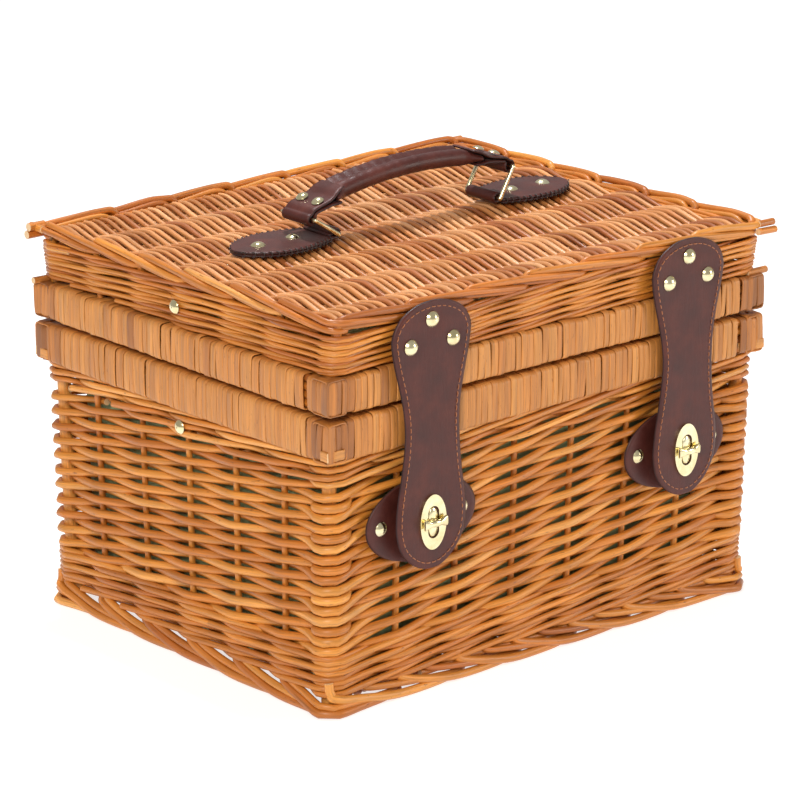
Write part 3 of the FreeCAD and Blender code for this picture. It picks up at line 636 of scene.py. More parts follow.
# ------------------------------------------------------------------ foot border
def foot():
    s = Soup()
    for k in range(26):
        j = rng.uniform(-0.5, 0.5, 6)
        ctl = [(k, 0.0, 22.0), (k + 0.01, 0.4, 15.5), (k + 0.06, 2.2, 11.8 + j[0] * 0.5), (k + 0.42, 4.0 + j[1] * 0.5, 7.4 + j[2] * 0.5),
               (k + 0.96, 4.4, 3.2), (k + 1.7, 2.6 + j[3], 2.7), (k + 2.12 + j[4] * 0.06, -3.4, 3.0)]
        c = catmull(ctl, 9)
        near = near_corner(c[:, 0], 0.3)
        P = FOOT.at(c[:, 0], c[:, 1] + 2.6 * near, c[:, 2])
        r = np.linspace(2.85, 2.5, len(c)) * rng.uniform(0.95, 1.08)
        P[:, 2] = np.maximum(P[:, 2], r)
        s.sweep(P, r, up=(1, 1, 0), tone=tone(0.48, 0.14), sides=10, dome=0.3)
        if k >= 20:
            # on the left each rod is doubled, and only small openings stay above the pair
            ctl = [(k + 0.08, -1.0, 17.0), (k + 0.16, 1.4, 14.6 + j[5]), (k + 0.5, 3.3, 11.6), (k + 1.02, 3.8, 7.6 + j[4]), (k + 1.75, 2.4, 5.0), (k + 2.05, -3.2, 4.0)]
            c = catmull(ctl, 9)
            P = FOOT.at(c[:, 0], c[:, 1] + 1.4 * near_corner(c[:, 0], 0.3), c[:, 2])
            s.sweep(P, np.linspace(2.6, 2.1, len(c)), up=(1, 1, 0), tone=tone(0.46, 0.14), sides=10, dome=0.3)
        if k < 20:
            ctl = [(k + 0.45, -1.0, 15.0), (k + 0.55, 1.6, 12.2 + j[5]), (k + 0.95, 3.6, 9.6), (k + 1.5, 3.4, 6.6 + j[4]), (k + 2.0, 0.6, 4.0), (k + 2.2, -3.6, 3.4)]
            c = catmull(ctl, 9)
            P = FOOT.at(c[:, 0], c[:, 1] + 1.2 * near_corner(c[:, 0], 0.3), c[:, 2])
            s.sweep(P, np.linspace(2.3, 1.9, len(c)), up=(1, 1, 0), tone=tone(0.4, 0.22), sides=8, dome=0.3)
    # a rod laid inside the turned-down ends, all along the front, the right and the back
    n = np.arange(1.4, 19.8, 0.12)
    s.sweep(FOOT.at(n, -0.6 + 0.4 * np.sin(n * 5.0), 10.6 + 0.7 * np.sin(n * math.pi)), 2.3, up=(1, 1, 0), tone=0.4, sides=8)
    n = np.arange(2.4, 19.8, 0.12)
    s.sweep(FOOT.at(n, -1.6 + 0.4 * np.sin(n * 4.0 + 1), 6.6 + 0.6 * np.sin(n * math.pi + 1)), 2.2, up=(1, 1, 0), tone=0.35, sides=8)
    return s


done(foot().mesh("foot_border_rods", WILLOW), "base", ["foot_border"])


# ------------------------------------------------------------------ floor and lid top weave
def mat_weave(s, half_x, half_y, sticks, zc, amp, dia, pitch, seed, sag=None, sides=8, step=3.4, mid=0.55, sharp=1.0, lean=0.0):
    r = np.random.default_rng(seed)
    x, k = -half_x, 0
    ys = np.array(sticks)
    while x < half_x:
        d = dia * r.uniform(0.8, 1.16)
        if r.uniform() < 0.07:
            d *= 1.22
        y = np.arange(-half_y, half_y + 0.01, step)
        # over one stick, under the next
        q = np.interp(y, ys, np.arange(len(ys)))
        lo = y < ys[0]
        hi = y > ys[-1]
        q = np.where(lo, (y - ys[0]) / (ys[1] - ys[0]), q)
        q = np.where(hi, len(ys) - 1 + (y - ys[-1]) / (ys[-1] - ys[-2]), q)
        wave = zigzag(q + k, 0.35)
        wave = np.sign(wave) * np.abs(wave) ** sharp
        z = zc + amp * wave
        # each rod leans sideways where it passes over a stick and comes back underneath the next
        xs = x + d / 2 + drift(y, 0.55, 26, seed + 31 * k) + lean * np.sin(math.pi * (q + k))
        if sag is not None:
            z = z + sag(xs, y)
        P = np.stack([xs, y, z], -1)
        s.sweep(P, d / 2 * np.linspace(1.03, 0.97, len(y)), up=(1, 0, 0), tone=tone(mid, 0.24), sides=sides)
        x += pitch * (0.5 + 0.5 * d / dia) + r.uniform(-0.06, 0.06) * pitch
        k += 1


fl = Soup()
mat_weave(fl, 160.0, 127.0, [(k - 2) * 48.0 for k in range(5)], 8.3, 2.2, 3.3, 3.7, 900, sides=6, step=6.0, mid=0.35)
# the weavers' ends turn up inside the foot
for x in np.arange(-158, 159, 3.9):
    for e in (-1, 1):
        xx = x + rng.uniform(-0.7, 0.7)
        y = np.array((122.0, 126.5, 128.4, 129.0, 129.2)) * e
        z = np.array((7.6, 7.4, 9.0, 11.6, 15.0)) + rng.uniform(-0.5, 0.5)
        c = catmull(np.stack([np.full(5, xx), y, z], -1), 4)
        fl.sweep(c, 1.35, up=(1, 0, 0), tone=float(rng.uniform(0.0, 0.25)), sides=6)
done(fl.mesh("floor_weavers", WILLOW), "base", ["floor_weave"])
fs = Soup()
for k in range(5):
    x = np.linspace(-160, 162, 30)
    y = (k - 2) * 48.0 + drift(x, 0.4, 60, 940 + k)
    fs.sweep(np.stack([x, y, np.full_like(x, 8.3)], -1), 2.3, tone=tone(0.4), sides=10)
done(fs.mesh("floor_stick_rods", WILLOW), "base", ["floor_sticks"])


def lid_sag(x, y):
    """The lid's skin is a little lower in the middle than at its border."""
    return -0.7 * (1 - np.clip(np.abs(x) / 172, 0, 1) ** 3) * (1 - np.clip(np.abs(y) / 140, 0, 1) ** 3)


STK = [-128.0] + [(k - 2) * 44.0 for k in range(5)] + [128.0]
# The lid top's weavers and sticks use the paler willow copy with painted sheen.
lt = Soup()
mat_weave(lt, 166.0, 139.0, STK, 243.5, 3.6, 3.35, 3.2, 1000, lid_sag, sides=8, step=2.6, sharp=0.95, lean=2.1)
done(lt.mesh("lid_top_weavers", WILLOW_TOP_PAINTED_SHEEN), "lid", ["lid_top_weave"])
ls = Soup()
for k in range(7):
    x = np.linspace(-172, 172, 60)
    y = STK[k] + drift(x, 0.8, 55, 1040 + k)
    z = 243.3 + lid_sag(x, y)
    if k in (0, 6):
        ls.sweep(np.stack([x * 0.985, y, z], -1), 2.1, tone=tone(0.5, 0.2), sides=8)
    else:
        # each stick is two rods laid butt to tip
        ls.sweep(np.stack([x, y - 1.6, z], -1), np.linspace(2.0, 1.6, 60), tone=tone(0.3, 0.12), sides=8)
        ls.sweep(np.stack([x, y + 1.8, z], -1), np.linspace(1.6, 2.0, 60), tone=tone(0.25, 0.12), sides=8)
done(ls.mesh("lid_stick_rods", WILLOW_TOP_PAINTED_SHEEN), "lid", ["lid_sticks"])


# ------------------------------------------------------------------ lid border
def lid_border():
    s = Soup()
    for k in range(26):
        j = rng.uniform(-0.5, 0.5, 8)
        e = k in (0, 7, 13, 20)
        top = 248.9 + j[0] * 0.8
        ctl = [(k, 0.0, 234.0), (k, 0.2, 242.0), (k, 0.5, 246.0), (k + 0.015, 0.7, top - 1.6), (k + 0.06, 1.2, top - 0.1), (k + 0.13, 1.9, top + 0.2),
               (k + 0.4, 3.2, 249.1 + 0.7 * j[1]), (k + 0.9, 4.5, 247.6 + j[2]), (k + 1.45, 5.0 + j[3] * 0.6, 245.2), (k + 1.85, 4.0, 243.0), (k + 2.05 + 0.1 * j[4], 0.2, 241.6)]
        c = catmull(ctl, 9)
        near = near_corner(c[:, 0], 0.3)
        P = LIDW.at(c[:, 0], c[:, 1] + (1.3 if not e else 0.9) * near, c[:, 2], lxs(240), lys(240))
        r = np.linspace(2.55, 1.95, len(c)) * rng.uniform(0.93, 1.08)
        s.sweep(P, r, up=(1, 1, 0), tone=tone(0.45, 0.22), sides=10, dome=0.3)
    # on the front and the left a second, thinner rod follows each one
    for k in range(26):
        j = rng.uniform(-0.5, 0.5, 5)
        ctl = [(k + 0.1, -1.6, 240.0), (k + 0.16, -1.0, 245.5), (k + 0.35, -0.2, 247.4 + j[0]), (k + 0.9, 1.6, 244.8 + j[1]), (k + 1.5, 3.4, 242.6), (k + 1.85, 2.4, 241.2), (k + 2.0, -0.8, 240.6)]
        c = catmull(ctl, 8)
        P = LIDW.at(c[:, 0], c[:, 1], c[:, 2], lxs(240), lys(240))
        s.sweep(P, np.linspace(2.0, 1.7, len(c)), up=(1, 1, 0), tone=tone(0.4, 0.2), sides=8)
    # two rods laid along the inside fill the turns
    sl = np.linspace(0, LIDW.L, 420, endpoint=False)
    for off, z, rr in ((-1.3, 244.6, 1.7), (1.6, 244.2, 1.7), (-3.2, 243.0, 1.6)):
        P = LIDW.at_s(sl, off, z + drift(sl, 0.35, 60, int(z * 10)), lxs(240), lys(240))
        s.sweep(P, rr, closed=True, tone=tone(0.3, 0.15), sides=8)
    return s


lb = lid_border()
# cut rod ends that stand out past the corners
for (x, y, z), d, ln, r in (
        ((170, -146.6, 247.4), (1, 0.0, -0.02), 13.0, 2.2), ((168, -148.2, 243.0), (1, 0.0, -0.04), 15.5, 2.2),
        ((-176.4, 138, 246.8), (0.02, 1, 0.0), 13.0, 2.5), ((-170, 145.6, 247.6), (-1, 0.02, 0), 12.0, 2.7), ((-170, 146.8, 242.6), (-1, 0.02, 0), 12.6, 2.7),
        ((170, 148.2, 246.0), (1, 0, 0), 12.0, 2.2)):
    t = np.linspace(0, 1, 8)[:, None]
    P = np.array((x, y, z)) + np.array(d) * ln * t
    lb.sweep(P, r, tone=tone(0.35, 0.15), sides=10, dome=0.2)
done(lb.mesh("lid_border_rods", WILLOW), "lid", ["lid_border"])


# ------------------------------------------------------------------ wrapped rims
def rim_core(z0, z1, rows, seed):
    s = Soup()
    loop = Loop(172.5, 136.5, 3.2, FX, FY)
    sl = np.linspace(0, loop.L, 400, endpoint=False)
    dz = (z1 - z0 - 6.4) / (rows - 1)
    for k in range(rows):
        for off in (-2.9, 2.9):
            z = z0 + 3.2 + dz * k
            P = loop.at_s(sl, off, np.full_like(sl, z))
            s.sweep(P, dz * 0.5, closed=True, tone=tone(0.3, 0.15), sides=8)
    return s


done(rim_core(163.0, 186.6, 4, 1).mesh("rim_core_rods", WILLOW), "base", ["rim_core"])
done(rim_core(191.4, 213.2, 4, 2).mesh("lid_rim_core_rods", WILLOW), "lid", ["lid_rim_core"])


def wrap_path(z0, z1, depth_out, depth_in, rad=3.4, per=4):
    """Cross-section line of one wrap, as (outward offset, height), closed."""
    c = []
    for ox, oz, a0 in ((depth_out - rad, z0 + rad, -90), (depth_out - rad, z1 - rad, 0),
                       (-depth_in + rad, z1 - rad, 90), (-depth_in + rad, z0 + rad, 180)):
        for a in np.radians(a0 + np.linspace(0, 90, per)):
            c.append((ox + rad * math.cos(a), oz + rad * math.sin(a)))
    return np.array(c)


BAND_SIDES = [((-180, -144), (1, 0), (0, -1), 360.0), ((180, -144), (0, 1), (1, 0), 288.0),
              ((180, 144), (-1, 0), (0, 1), 360.0), ((-180, 144), (0, -1), (-1, 0), 288.0)]


def strip(s, r, side, d, w, z0, z1, lift, colour, lean=0.0, skew=0.0, rad=2.0, thin=0.55):
    """One turn of flat cane round the rim, at the distance d from the side's first corner."""
    (cx, cy), t, nn, _ = side
    T, N = np.array((*t, 0.0)), np.array((*nn, 0.0))
    base = np.array((cx, cy, 0.0)) + T * d - N * 7.5
    prof = wrap_path(z0, z1, 6.95 + lift, 6.9, rad, per=3)
    out = []
    m = len(prof)
    for i in range(m):
        p, pn = prof[i], prof[(i + 1) % m]
        out.append(p)
        if np.linalg.norm(pn - p) > 6:
            for f in (0.2, 0.4, 0.6, 0.8):
                v = p + (pn - p) * f
                if v[0] > 3:
                    v = v + np.array((0.25 * math.sin(math.pi * f) + r.normal(0, 0.05), 0))
                out.append(v)
    prof = np.array(out)
    zm = (z0 + z1) / 2
    sign = np.where(prof[:, 0] > 0, 1.0, -0.6)
    P = base + prof[:, :1] * N + (prof[:, 1:] * np.array([[0, 0, 1.0]])) + ((prof[:, 1] - zm) * lean * sign)[:, None] * T
    s.sweep(P, w / 2, thin, up=T + N * skew, closed=True, transport=False, power=0.42, tone=colour, sides=12)


def binding(z0, z1, seed, lid):
    r = np.random.default_rng(seed)
    s = Soup()
    for side in BAND_SIDES:
        L = side[3]
        at = 20.6
        while at < L - 24.0:
            w = float(np.clip(r.normal(5.0, 1.0), 3.2, 7.4))
            w = min(w, L - 20.6 - at)
            c = float(np.clip(r.normal(0.52, 0.11), 0, 1))
            if r.uniform() < 0.035:
                c = float(r.uniform(0.1, 0.25))
            strip(s, r, side, at + w / 2, w * 1.02, z0 + r.uniform(0, 0.6), z1 - r.uniform(0, 0.8 if not lid else 1.6), r.uniform(-0.25, 0.35), c,
                  r.normal(0, 0.022), r.normal(0, 0.06))
            gap = 0.04 + abs(r.normal(0.0, 0.1)) + (r.uniform(0.25, 0.8) if r.uniform() < 0.22 else 0.0)
            at += w + gap
        # dull flat strips near both corners
        for end in (0, 1):
            for i, mid in enumerate((3.4, 8.6, 13.0, 17.6)):
                d = mid if end == 0 else L - mid
                top = z1 - (0.8 if lid else 0.5 + (i == 1) * 0.7)
                strip(s, r, side, d, (6.6, 4.7, 4.5, 5.2)[i] + r.uniform(-0.4, 0.3), z0 + r.uniform(0.2, 1.6), top - r.uniform(0, 1.2), -0.3 + r.uniform(-0.2, 0.5), float(r.uniform(0.0, 0.34)),
                      r.normal(0, 0.035), r.normal(0, 0.14))
            d0, d1 = (0.0, 20.8) if end == 0 else (L - 20.8, L)
            T, N = np.array((*side[1], 0.0)), np.array((*side[2], 0.0))
            o = np.array((*side[0], 0.0))
            if lid:
                rows = ()
            else:
                rows = ((z0 + 5.2, 3.0, 0.7, 1 + end, 0.7),)
            for z, half, lift, over, c in rows:
                d = np.linspace(d0 + 0.2, d1 - 0.2, 40)
                if over is None:
                    out = np.full_like(d, lift)
                else:
                    a = np.abs(d - d0) if end == 0 else np.abs(d1 - d)
                    mid = (3.4, 8.6, 17.6)[over if end == 0 else 0]
                    out = np.where(np.abs(a - mid) < 4.0, lift, -1.6)
                    out = np.convolve(np.pad(out, 1, mode="edge"), (0.25, 0.5, 0.25), "valid")
                P = o + T * d[:, None] + N * (out - 0.5)[:, None] + np.array((0, 0, 1.0)) * (z + 0.15 * np.sin(d))[:, None]
                s.sweep(P, half, 0.5, up=(0, 0, 1), transport=False, power=0.45, tone=c, sides=12)
    return s


rb = binding(162.2, 187.4, 51, False)
done(rb.mesh("rim_binding_cane", CANE), "base", ["rim_binding"])
rb = binding(190.6, 213.8, 61, True)
for (x, y, z), d, ln, rr in (((168, -139.5, 214.3), (1, -0.02, 0), 16.5, 2.2), ((-171, 139.0, 214.6), (-1, 0.03, 0.02), 13.0, 2.1),
                             ((173, 132, 214.4), (0, 1, 0), 14.5, 2.2)):
    t = np.linspace(0, 1, 8)[:, None]
    rb.sweep(np.array((x, y, z)) + np.array(d) * ln * t, rr, tone=0.3, sides=10, dome=0.2)
done(rb.mesh("lid_rim_binding_cane", CANE), "lid", ["lid_rim_binding"])


# ------------------------------------------------------------------ leather
class Ribbon:
    """Flat leather cut to an outline and bent along a line. W is its width direction, and the front looks along W x travel."""

    def __init__(self, path, W, halves, thick, edge=0.9, cols=15, dents=(), tipround=(True, True)):
        self.P = np.asarray(path, float)
        self.W = np.asarray(W, float)
        self.h = np.asarray(halves, float)
        T = np.gradient(self.P, axis=0)
        T /= np.linalg.norm(T, axis=1)[:, None]
        self.N = np.cross(np.broadcast_to(self.W, T.shape), T)
        self.N /= np.linalg.norm(self.N, axis=1)[:, None]
        seg = np.linalg.norm(np.diff(self.P, axis=0), axis=1)
        self.s = np.concatenate(([0], np.cumsum(seg)))
        self.t = thick
        self.edge, self.cols, self.dents, self.tipround = edge, cols, dents, tipround

    def mesh(self, name, mat=None, wave=0.0, seed=1):
        n, c = len(self.P), self.cols
        a = np.linspace(-1, 1, c)
        u = np.sin(a * math.pi / 2) * 0.35 + a * 0.65
        u = u / u[-1]
        h = np.maximum(self.h, 0.02)
        X = u[None, :] * h[:, None]
        e = np.minimum(self.edge, h)[:, None]
        over = np.clip((np.abs(X) - (h[:, None] - e)) / e, 0, 1)
        prof = np.sqrt(np.maximum(0.0, 1 - over ** 2))
        tip = np.ones(n)
        if self.tipround[0]:
            tip = np.minimum(tip, np.sqrt(np.clip(1 - (1 - np.clip((self.s - self.s[0]) / 0.9, 0, 1)) ** 2, 0, 1)))
        if self.tipround[1]:
            tip = np.minimum(tip, np.sqrt(np.clip(1 - (1 - np.clip((self.s[-1] - self.s) / 0.9, 0, 1)) ** 2, 0, 1)))
        half = self.t / 2 * prof * np.maximum(tip, 0.15)[:, None]
        S = np.broadcast_to(self.s[:, None], X.shape)
        dip = np.zeros_like(X)
        for dw, ds, dr, dd in self.dents:
            dip -= dd * np.exp(-(((X - dw) ** 2 + (S - ds) ** 2) / dr ** 2) ** 1.5)
        if wave:
            dip += wave * (np.sin(S / 17.0 + seed) * np.cos(X / 19.0 + seed) + 0.5 * np.sin(S / 7.3 + 2 * seed))
        front = self.P[:, None, :] + X[..., None] * self.W + (half + dip)[..., None] * self.N[:, None, :]
        back = self.P[:, None, :] + X[..., None] * self.W + (-half + 0.4 * dip)[..., None] * self.N[:, None, :]
        ring = np.concatenate([front, back[:, -2:0:-1]], axis=1)
        edge_d = np.minimum(h[:, None] - np.abs(X), np.minimum(S - S[0], S[-1] - S) * (1.0 if all(self.tipround) else 99))
        cut = 1 - np.clip(edge_d / 6.0, 0, 1)
        cut = np.where(prof < 0.9, 1.0, cut * 0.8)
        crng = np.concatenate([cut, np.maximum(cut, 0.3)[:, -2:0:-1]], axis=1)
        flat = np.stack([S, X, np.zeros_like(X)], -1)
        frng = np.concatenate([flat, flat[:, -2:0:-1] + np.array((0, 0, 7.0))], axis=1)
        k = ring.shape[1]
        s = Soup()
        at = s.put(ring.reshape(-1, 3), frng.reshape(-1, 3), 0.5, crng.reshape(-1))
        i = np.arange(n - 1)[:, None]
        j = np.arange(k)[None, :]
        j2 = (j + 1) % k
        s.q.append(np.stack([i * k + j, i * k + j2, (i + 1) * k + j2, (i + 1) * k + j], -1).reshape(-1, 4) + at)
        for e_i, sg in ((0, 1), (n - 1, -1)):
            cc = s.put(ring[e_i].mean(0)[None], frng[e_i].mean(0)[None], 0.5, 1.0)
            jj = np.arange(k)
            kk = (jj + 1) % k
            tri = np.stack([np.full(k, cc), e_i * k + kk + at, e_i * k + jj + at] if sg > 0 else
                           [np.full(k, cc), e_i * k + jj + at, e_i * k + kk + at], -1)
            s.t.append(tri)
        ob = s.mesh(name, mat or LEATHER)
        for p in ob.data.polygons:
            p.use_smooth = True
        return ob

    def at(self, w, s, lift):
        P = np.stack([np.interp(s, self.s, self.P[:, k]) for k in range(3)], -1)
        N = np.stack([np.interp(s, self.s, self.N[:, k]) for k in range(3)], -1)
        return P + np.asarray(w)[:, None] * self.W + N * (self.t / 2 + lift)

    def stitches(self, soup, inset=3.0, pitch=4.3, length=3.0, r=0.36, s_range=None, lift=0.0):
        o = np.concatenate([np.stack([self.h, self.s], -1), np.stack([-self.h, self.s], -1)[::-1]])
        seg = np.linalg.norm(np.diff(np.vstack([o, o[:1]]), axis=0), axis=1)
        L = np.concatenate(([0], np.cumsum(seg)))
        t = np.linspace(0, L[-1], 500, endpoint=False)
        oo = np.vstack([o, o[:1]])
        Q = np.stack([np.interp(t, L, oo[:, k]) for k in (0, 1)], -1)
        T = np.roll(Q, -2, 0) - np.roll(Q, 2, 0)
        T /= np.linalg.norm(T, axis=1)[:, None] + 1e-9
        R = Q + np.stack([-T[:, 1], T[:, 0]], -1) * inset
        dist = np.min(np.linalg.norm(R[:, None] - Q[None], axis=2), axis=1)
        R = R[dist > inset - 0.25]
        seg = np.linalg.norm(np.diff(R, axis=0), axis=1)
        R = R[np.concatenate(([True], seg > 1e-3))]
        seg = np.linalg.norm(np.diff(np.vstack([R, R[:1]]), axis=0), axis=1)
        L = np.concatenate(([0], np.cumsum(seg)))
        RR = np.vstack([R, R[:1]])
        at = 0.0
        while at + length < L[-1]:
            tt = np.linspace(at, at + length, 5)
            w = np.interp(tt, L, RR[:, 0])
            ss = np.interp(tt, L, RR[:, 1])
            if s_range is None or (s_range[0] < ss[2] < s_range[1]):
                dip = np.array((-0.35, 0.12, 0.22, 0.12, -0.35))
                P = self.at(w, ss, 0.0) + (np.stack([np.interp(ss, self.s, self.N[:, k]) for k in range(3)], -1)) * (dip + lift)[:, None]
                soup.sweep(P, r, up=(0.3, 0.2, 1), sides=6, caps=True)
            at += pitch


def smooth_outline(zs, hs, z):
    """Half-width at z, through the given pairs, rounded to nothing at both tips."""
    c = catmull(np.stack([zs, hs], -1), 14)
    order = np.argsort(c[:, 0])
    return np.maximum(np.interp(z, c[order, 0], c[order, 1]), 0.0)


def tip_spaced(a, b, n, sharp=0.35):
    t = np.linspace(0, 1, n)
    e = 0.5 - 0.5 * np.cos(t * math.pi)
    e = 0.5 - 0.5 * np.cos(e * math.pi) * sharp - 0.5 * (1 - 2 * t) * (1 - sharp)
    e = (e - e[0]) / (e[-1] - e[0])
    return a + (b - a) * e


OUT = [(84, 0), (85, 7), (88.5, 14), (94, 20.5), (101, 25), (110, 27.3), (120, 27.5), (132, 26), (145, 23.8), (160, 22),
       (175, 21.5), (188, 22.8), (200, 25.3), (212, 28.3), (216, 29.2), (224, 30.6), (231, 31), (238, 28.3), (243, 23.8),
       (247, 17), (249.5, 9), (250.4, 0)]
oz, oh = np.array([p[0] for p in OUT], float), np.array([p[1] for p in OUT], float)
for tag, sx in (("left", -1), ("right", 1)):
    x0 = sx * 105.5
    z = np.concatenate([84 + (np.linspace(0, 1, 14) ** 2) * 6, np.linspace(90.5, 243, 110), 250.4 - (np.linspace(1, 0, 16) ** 2) * 7])
    h = smooth_outline(oz, oh, z)
    h[0] = h[-1] = 0.02
    # the strap's line: flat on the lid, a shallow bow between the lid and the latch
    bow = -1.0 * np.exp(-((z - 172) / 26.0) ** 2)
    path = np.stack([np.full_like(z, x0), -149.6 + bow, z], -1)
    dents = [(0.0, 239 - 84, 7.0, 0.45), (16.5, 224.5 - 84, 7.0, 0.45), (-16.5, 224.5 - 84, 7.0, 0.45)]
    rib = Ribbon(path, (1, 0, 0), h, 2.4, edge=1.1, cols=19, dents=dents)
    ob = rib.mesh("strap_leather_" + tag, wave=0.12, seed=3 + sx)
    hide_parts("strap_top_" + tag, "strap_flap_" + tag)
    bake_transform(ob)
    st = Soup()
    rib.stitches(st, 3.8, 4.2, 3.1, r=0.33)
    ob = st.mesh("strap_stitching_" + tag, THREAD)
    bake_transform(ob)
    # latch patch behind the strap
    z = 113.5 + 26 * np.sin(np.linspace(-math.pi / 2, math.pi / 2, 40))
    h = 43.5 * np.sqrt(np.maximum(0, 1 - ((z - 113.5) / 26) ** 2))
    path = np.stack([np.full_like(z, x0), np.full_like(z, -140.5), z], -1)
    rib = Ribbon(path, (1, 0, 0), h, 2.2, edge=1.0, cols=29, dents=[(32, 26, 6.5, 0.35), (-32, 26, 6.5, 0.35)])
    done(rib.mesh("latch_patch_leather_" + tag, wave=0.1, seed=7 + sx), "base", ["latch_patch_" + tag])

# the oval boss of each seat fills the eyelet's slot round the turning post
for tag, sx in (("left", -1), ("right", 1)):
    s = Soup()
    y = np.array((-141.8, -148.0, -151.2, -151.9, -152.0))
    sc = np.array((1.0, 1.0, 1.0, 0.93, 0.5))
    a = np.linspace(0, 2 * math.pi, 40, endpoint=False)
    ring = np.stack([3.7 * np.cos(a), 9.3 * np.sin(a)], -1)
    ring = np.sign(ring) * np.abs(ring / (3.7, 9.3)) ** 0.85 * (3.7, 9.3)
    V = np.stack([np.stack([sx * 105.5 + ring[:, 0] * k, np.full(40, yy), 113.5 + ring[:, 1] * k], -1) for yy, k in zip(y, sc)])
    at = s.put(V.reshape(-1, 3), V.reshape(-1, 3), 0.5, 0.0)
    i = np.arange(4)[:, None]
    j = np.arange(40)[None]
    s.q.append(np.stack([i * 40 + j, (i + 1) * 40 + j, (i + 1) * 40 + (j + 1) % 40, i * 40 + (j + 1) % 40], -1).reshape(-1, 4) + at)
    for e, sg in ((0, 1), (4, -1)):
        cc = s.put(V[e].mean(0)[None], V[e].mean(0)[None], 0.5, 0.0)
        j = np.arange(40)
        tri = [np.full(40, cc), e * 40 + j + at, e * 40 + (j + 1) % 40 + at]
        s.t.append(np.stack(tri if sg > 0 else tri[::-1], -1))
    ob = s.mesh("turnlock_boss_" + tag, BRASS)
    for p in ob.data.polygons:
        p.use_smooth = True
    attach(ob, "base")

# turn buttons: a round post and a wing that flares to both ends
for tag, sx in (("left", -1), ("right", 1)):
    s = Soup()
    x0 = sx * 105.5
    y = np.array((-145.9, -150.0, -152.6, -153.4, -154.2))
    s.sweep(np.stack([np.full(5, x0), y, np.full(5, 113.5)], -1), np.array((2.7, 2.7, 2.7, 2.4, 2.0)), up=(0, 0, 1), sides=24)
    u = np.linspace(-8.7, 8.7, 29)
    a = np.abs(u) / 8.7
    P = np.stack([x0 + u, np.full(29, -154.5) + 0.5 * a ** 2, np.full(29, 113.5)], -1)
    s.sweep(P, 2.25 + 1.1 * a ** 1.6 - 0.7 * np.exp(-((a - 0.42) / 0.2) ** 2), 1.95 - 0.75 * a ** 1.4, up=(0, 0, 1), transport=False, power=0.8, sides=20, dome=0.35)
    done(s.mesh("turn_wing_brass_" + tag, BRASS), "button_" + tag, ["turn_button_" + tag])

# hinges: one leather piece each, from the base band up to the lid band
for tag, sx in (("left", -1), ("right", 1)):
    x0 = sx * 96.0
    z = np.concatenate([163.5 + np.linspace(0, 1, 8) ** 1.5 * 4, np.linspace(168.2, 208.4, 64), 213 - np.linspace(1, 0, 8) ** 1.5 * 4.2])
    d = np.minimum(z - 163.5, 213.0 - z)
    h = 22 - 4.0 * (1 - np.sqrt(np.clip(1 - (1 - np.clip(d / 4.0, 0, 1)) ** 2, 0, 1)))
    path = np.stack([np.full_like(z, x0), np.full_like(z, 145.4), z], -1)
    rib = Ribbon(path, (-1, 0, 0), h, 2.6, edge=0.9, cols=17)
    ob = rib.mesh("hinge_leather_" + tag, wave=0.06, seed=11 + sx)
    if sx < 0:
        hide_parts("hinge_leaves_base", "hinge_leaves_lid")
    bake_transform(ob)
    st = Soup()
    rib.stitches(st, 3.0, 4.3, 3.0)
    ob = st.mesh("hinge_stitching_" + tag, THREAD)
    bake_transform(ob)

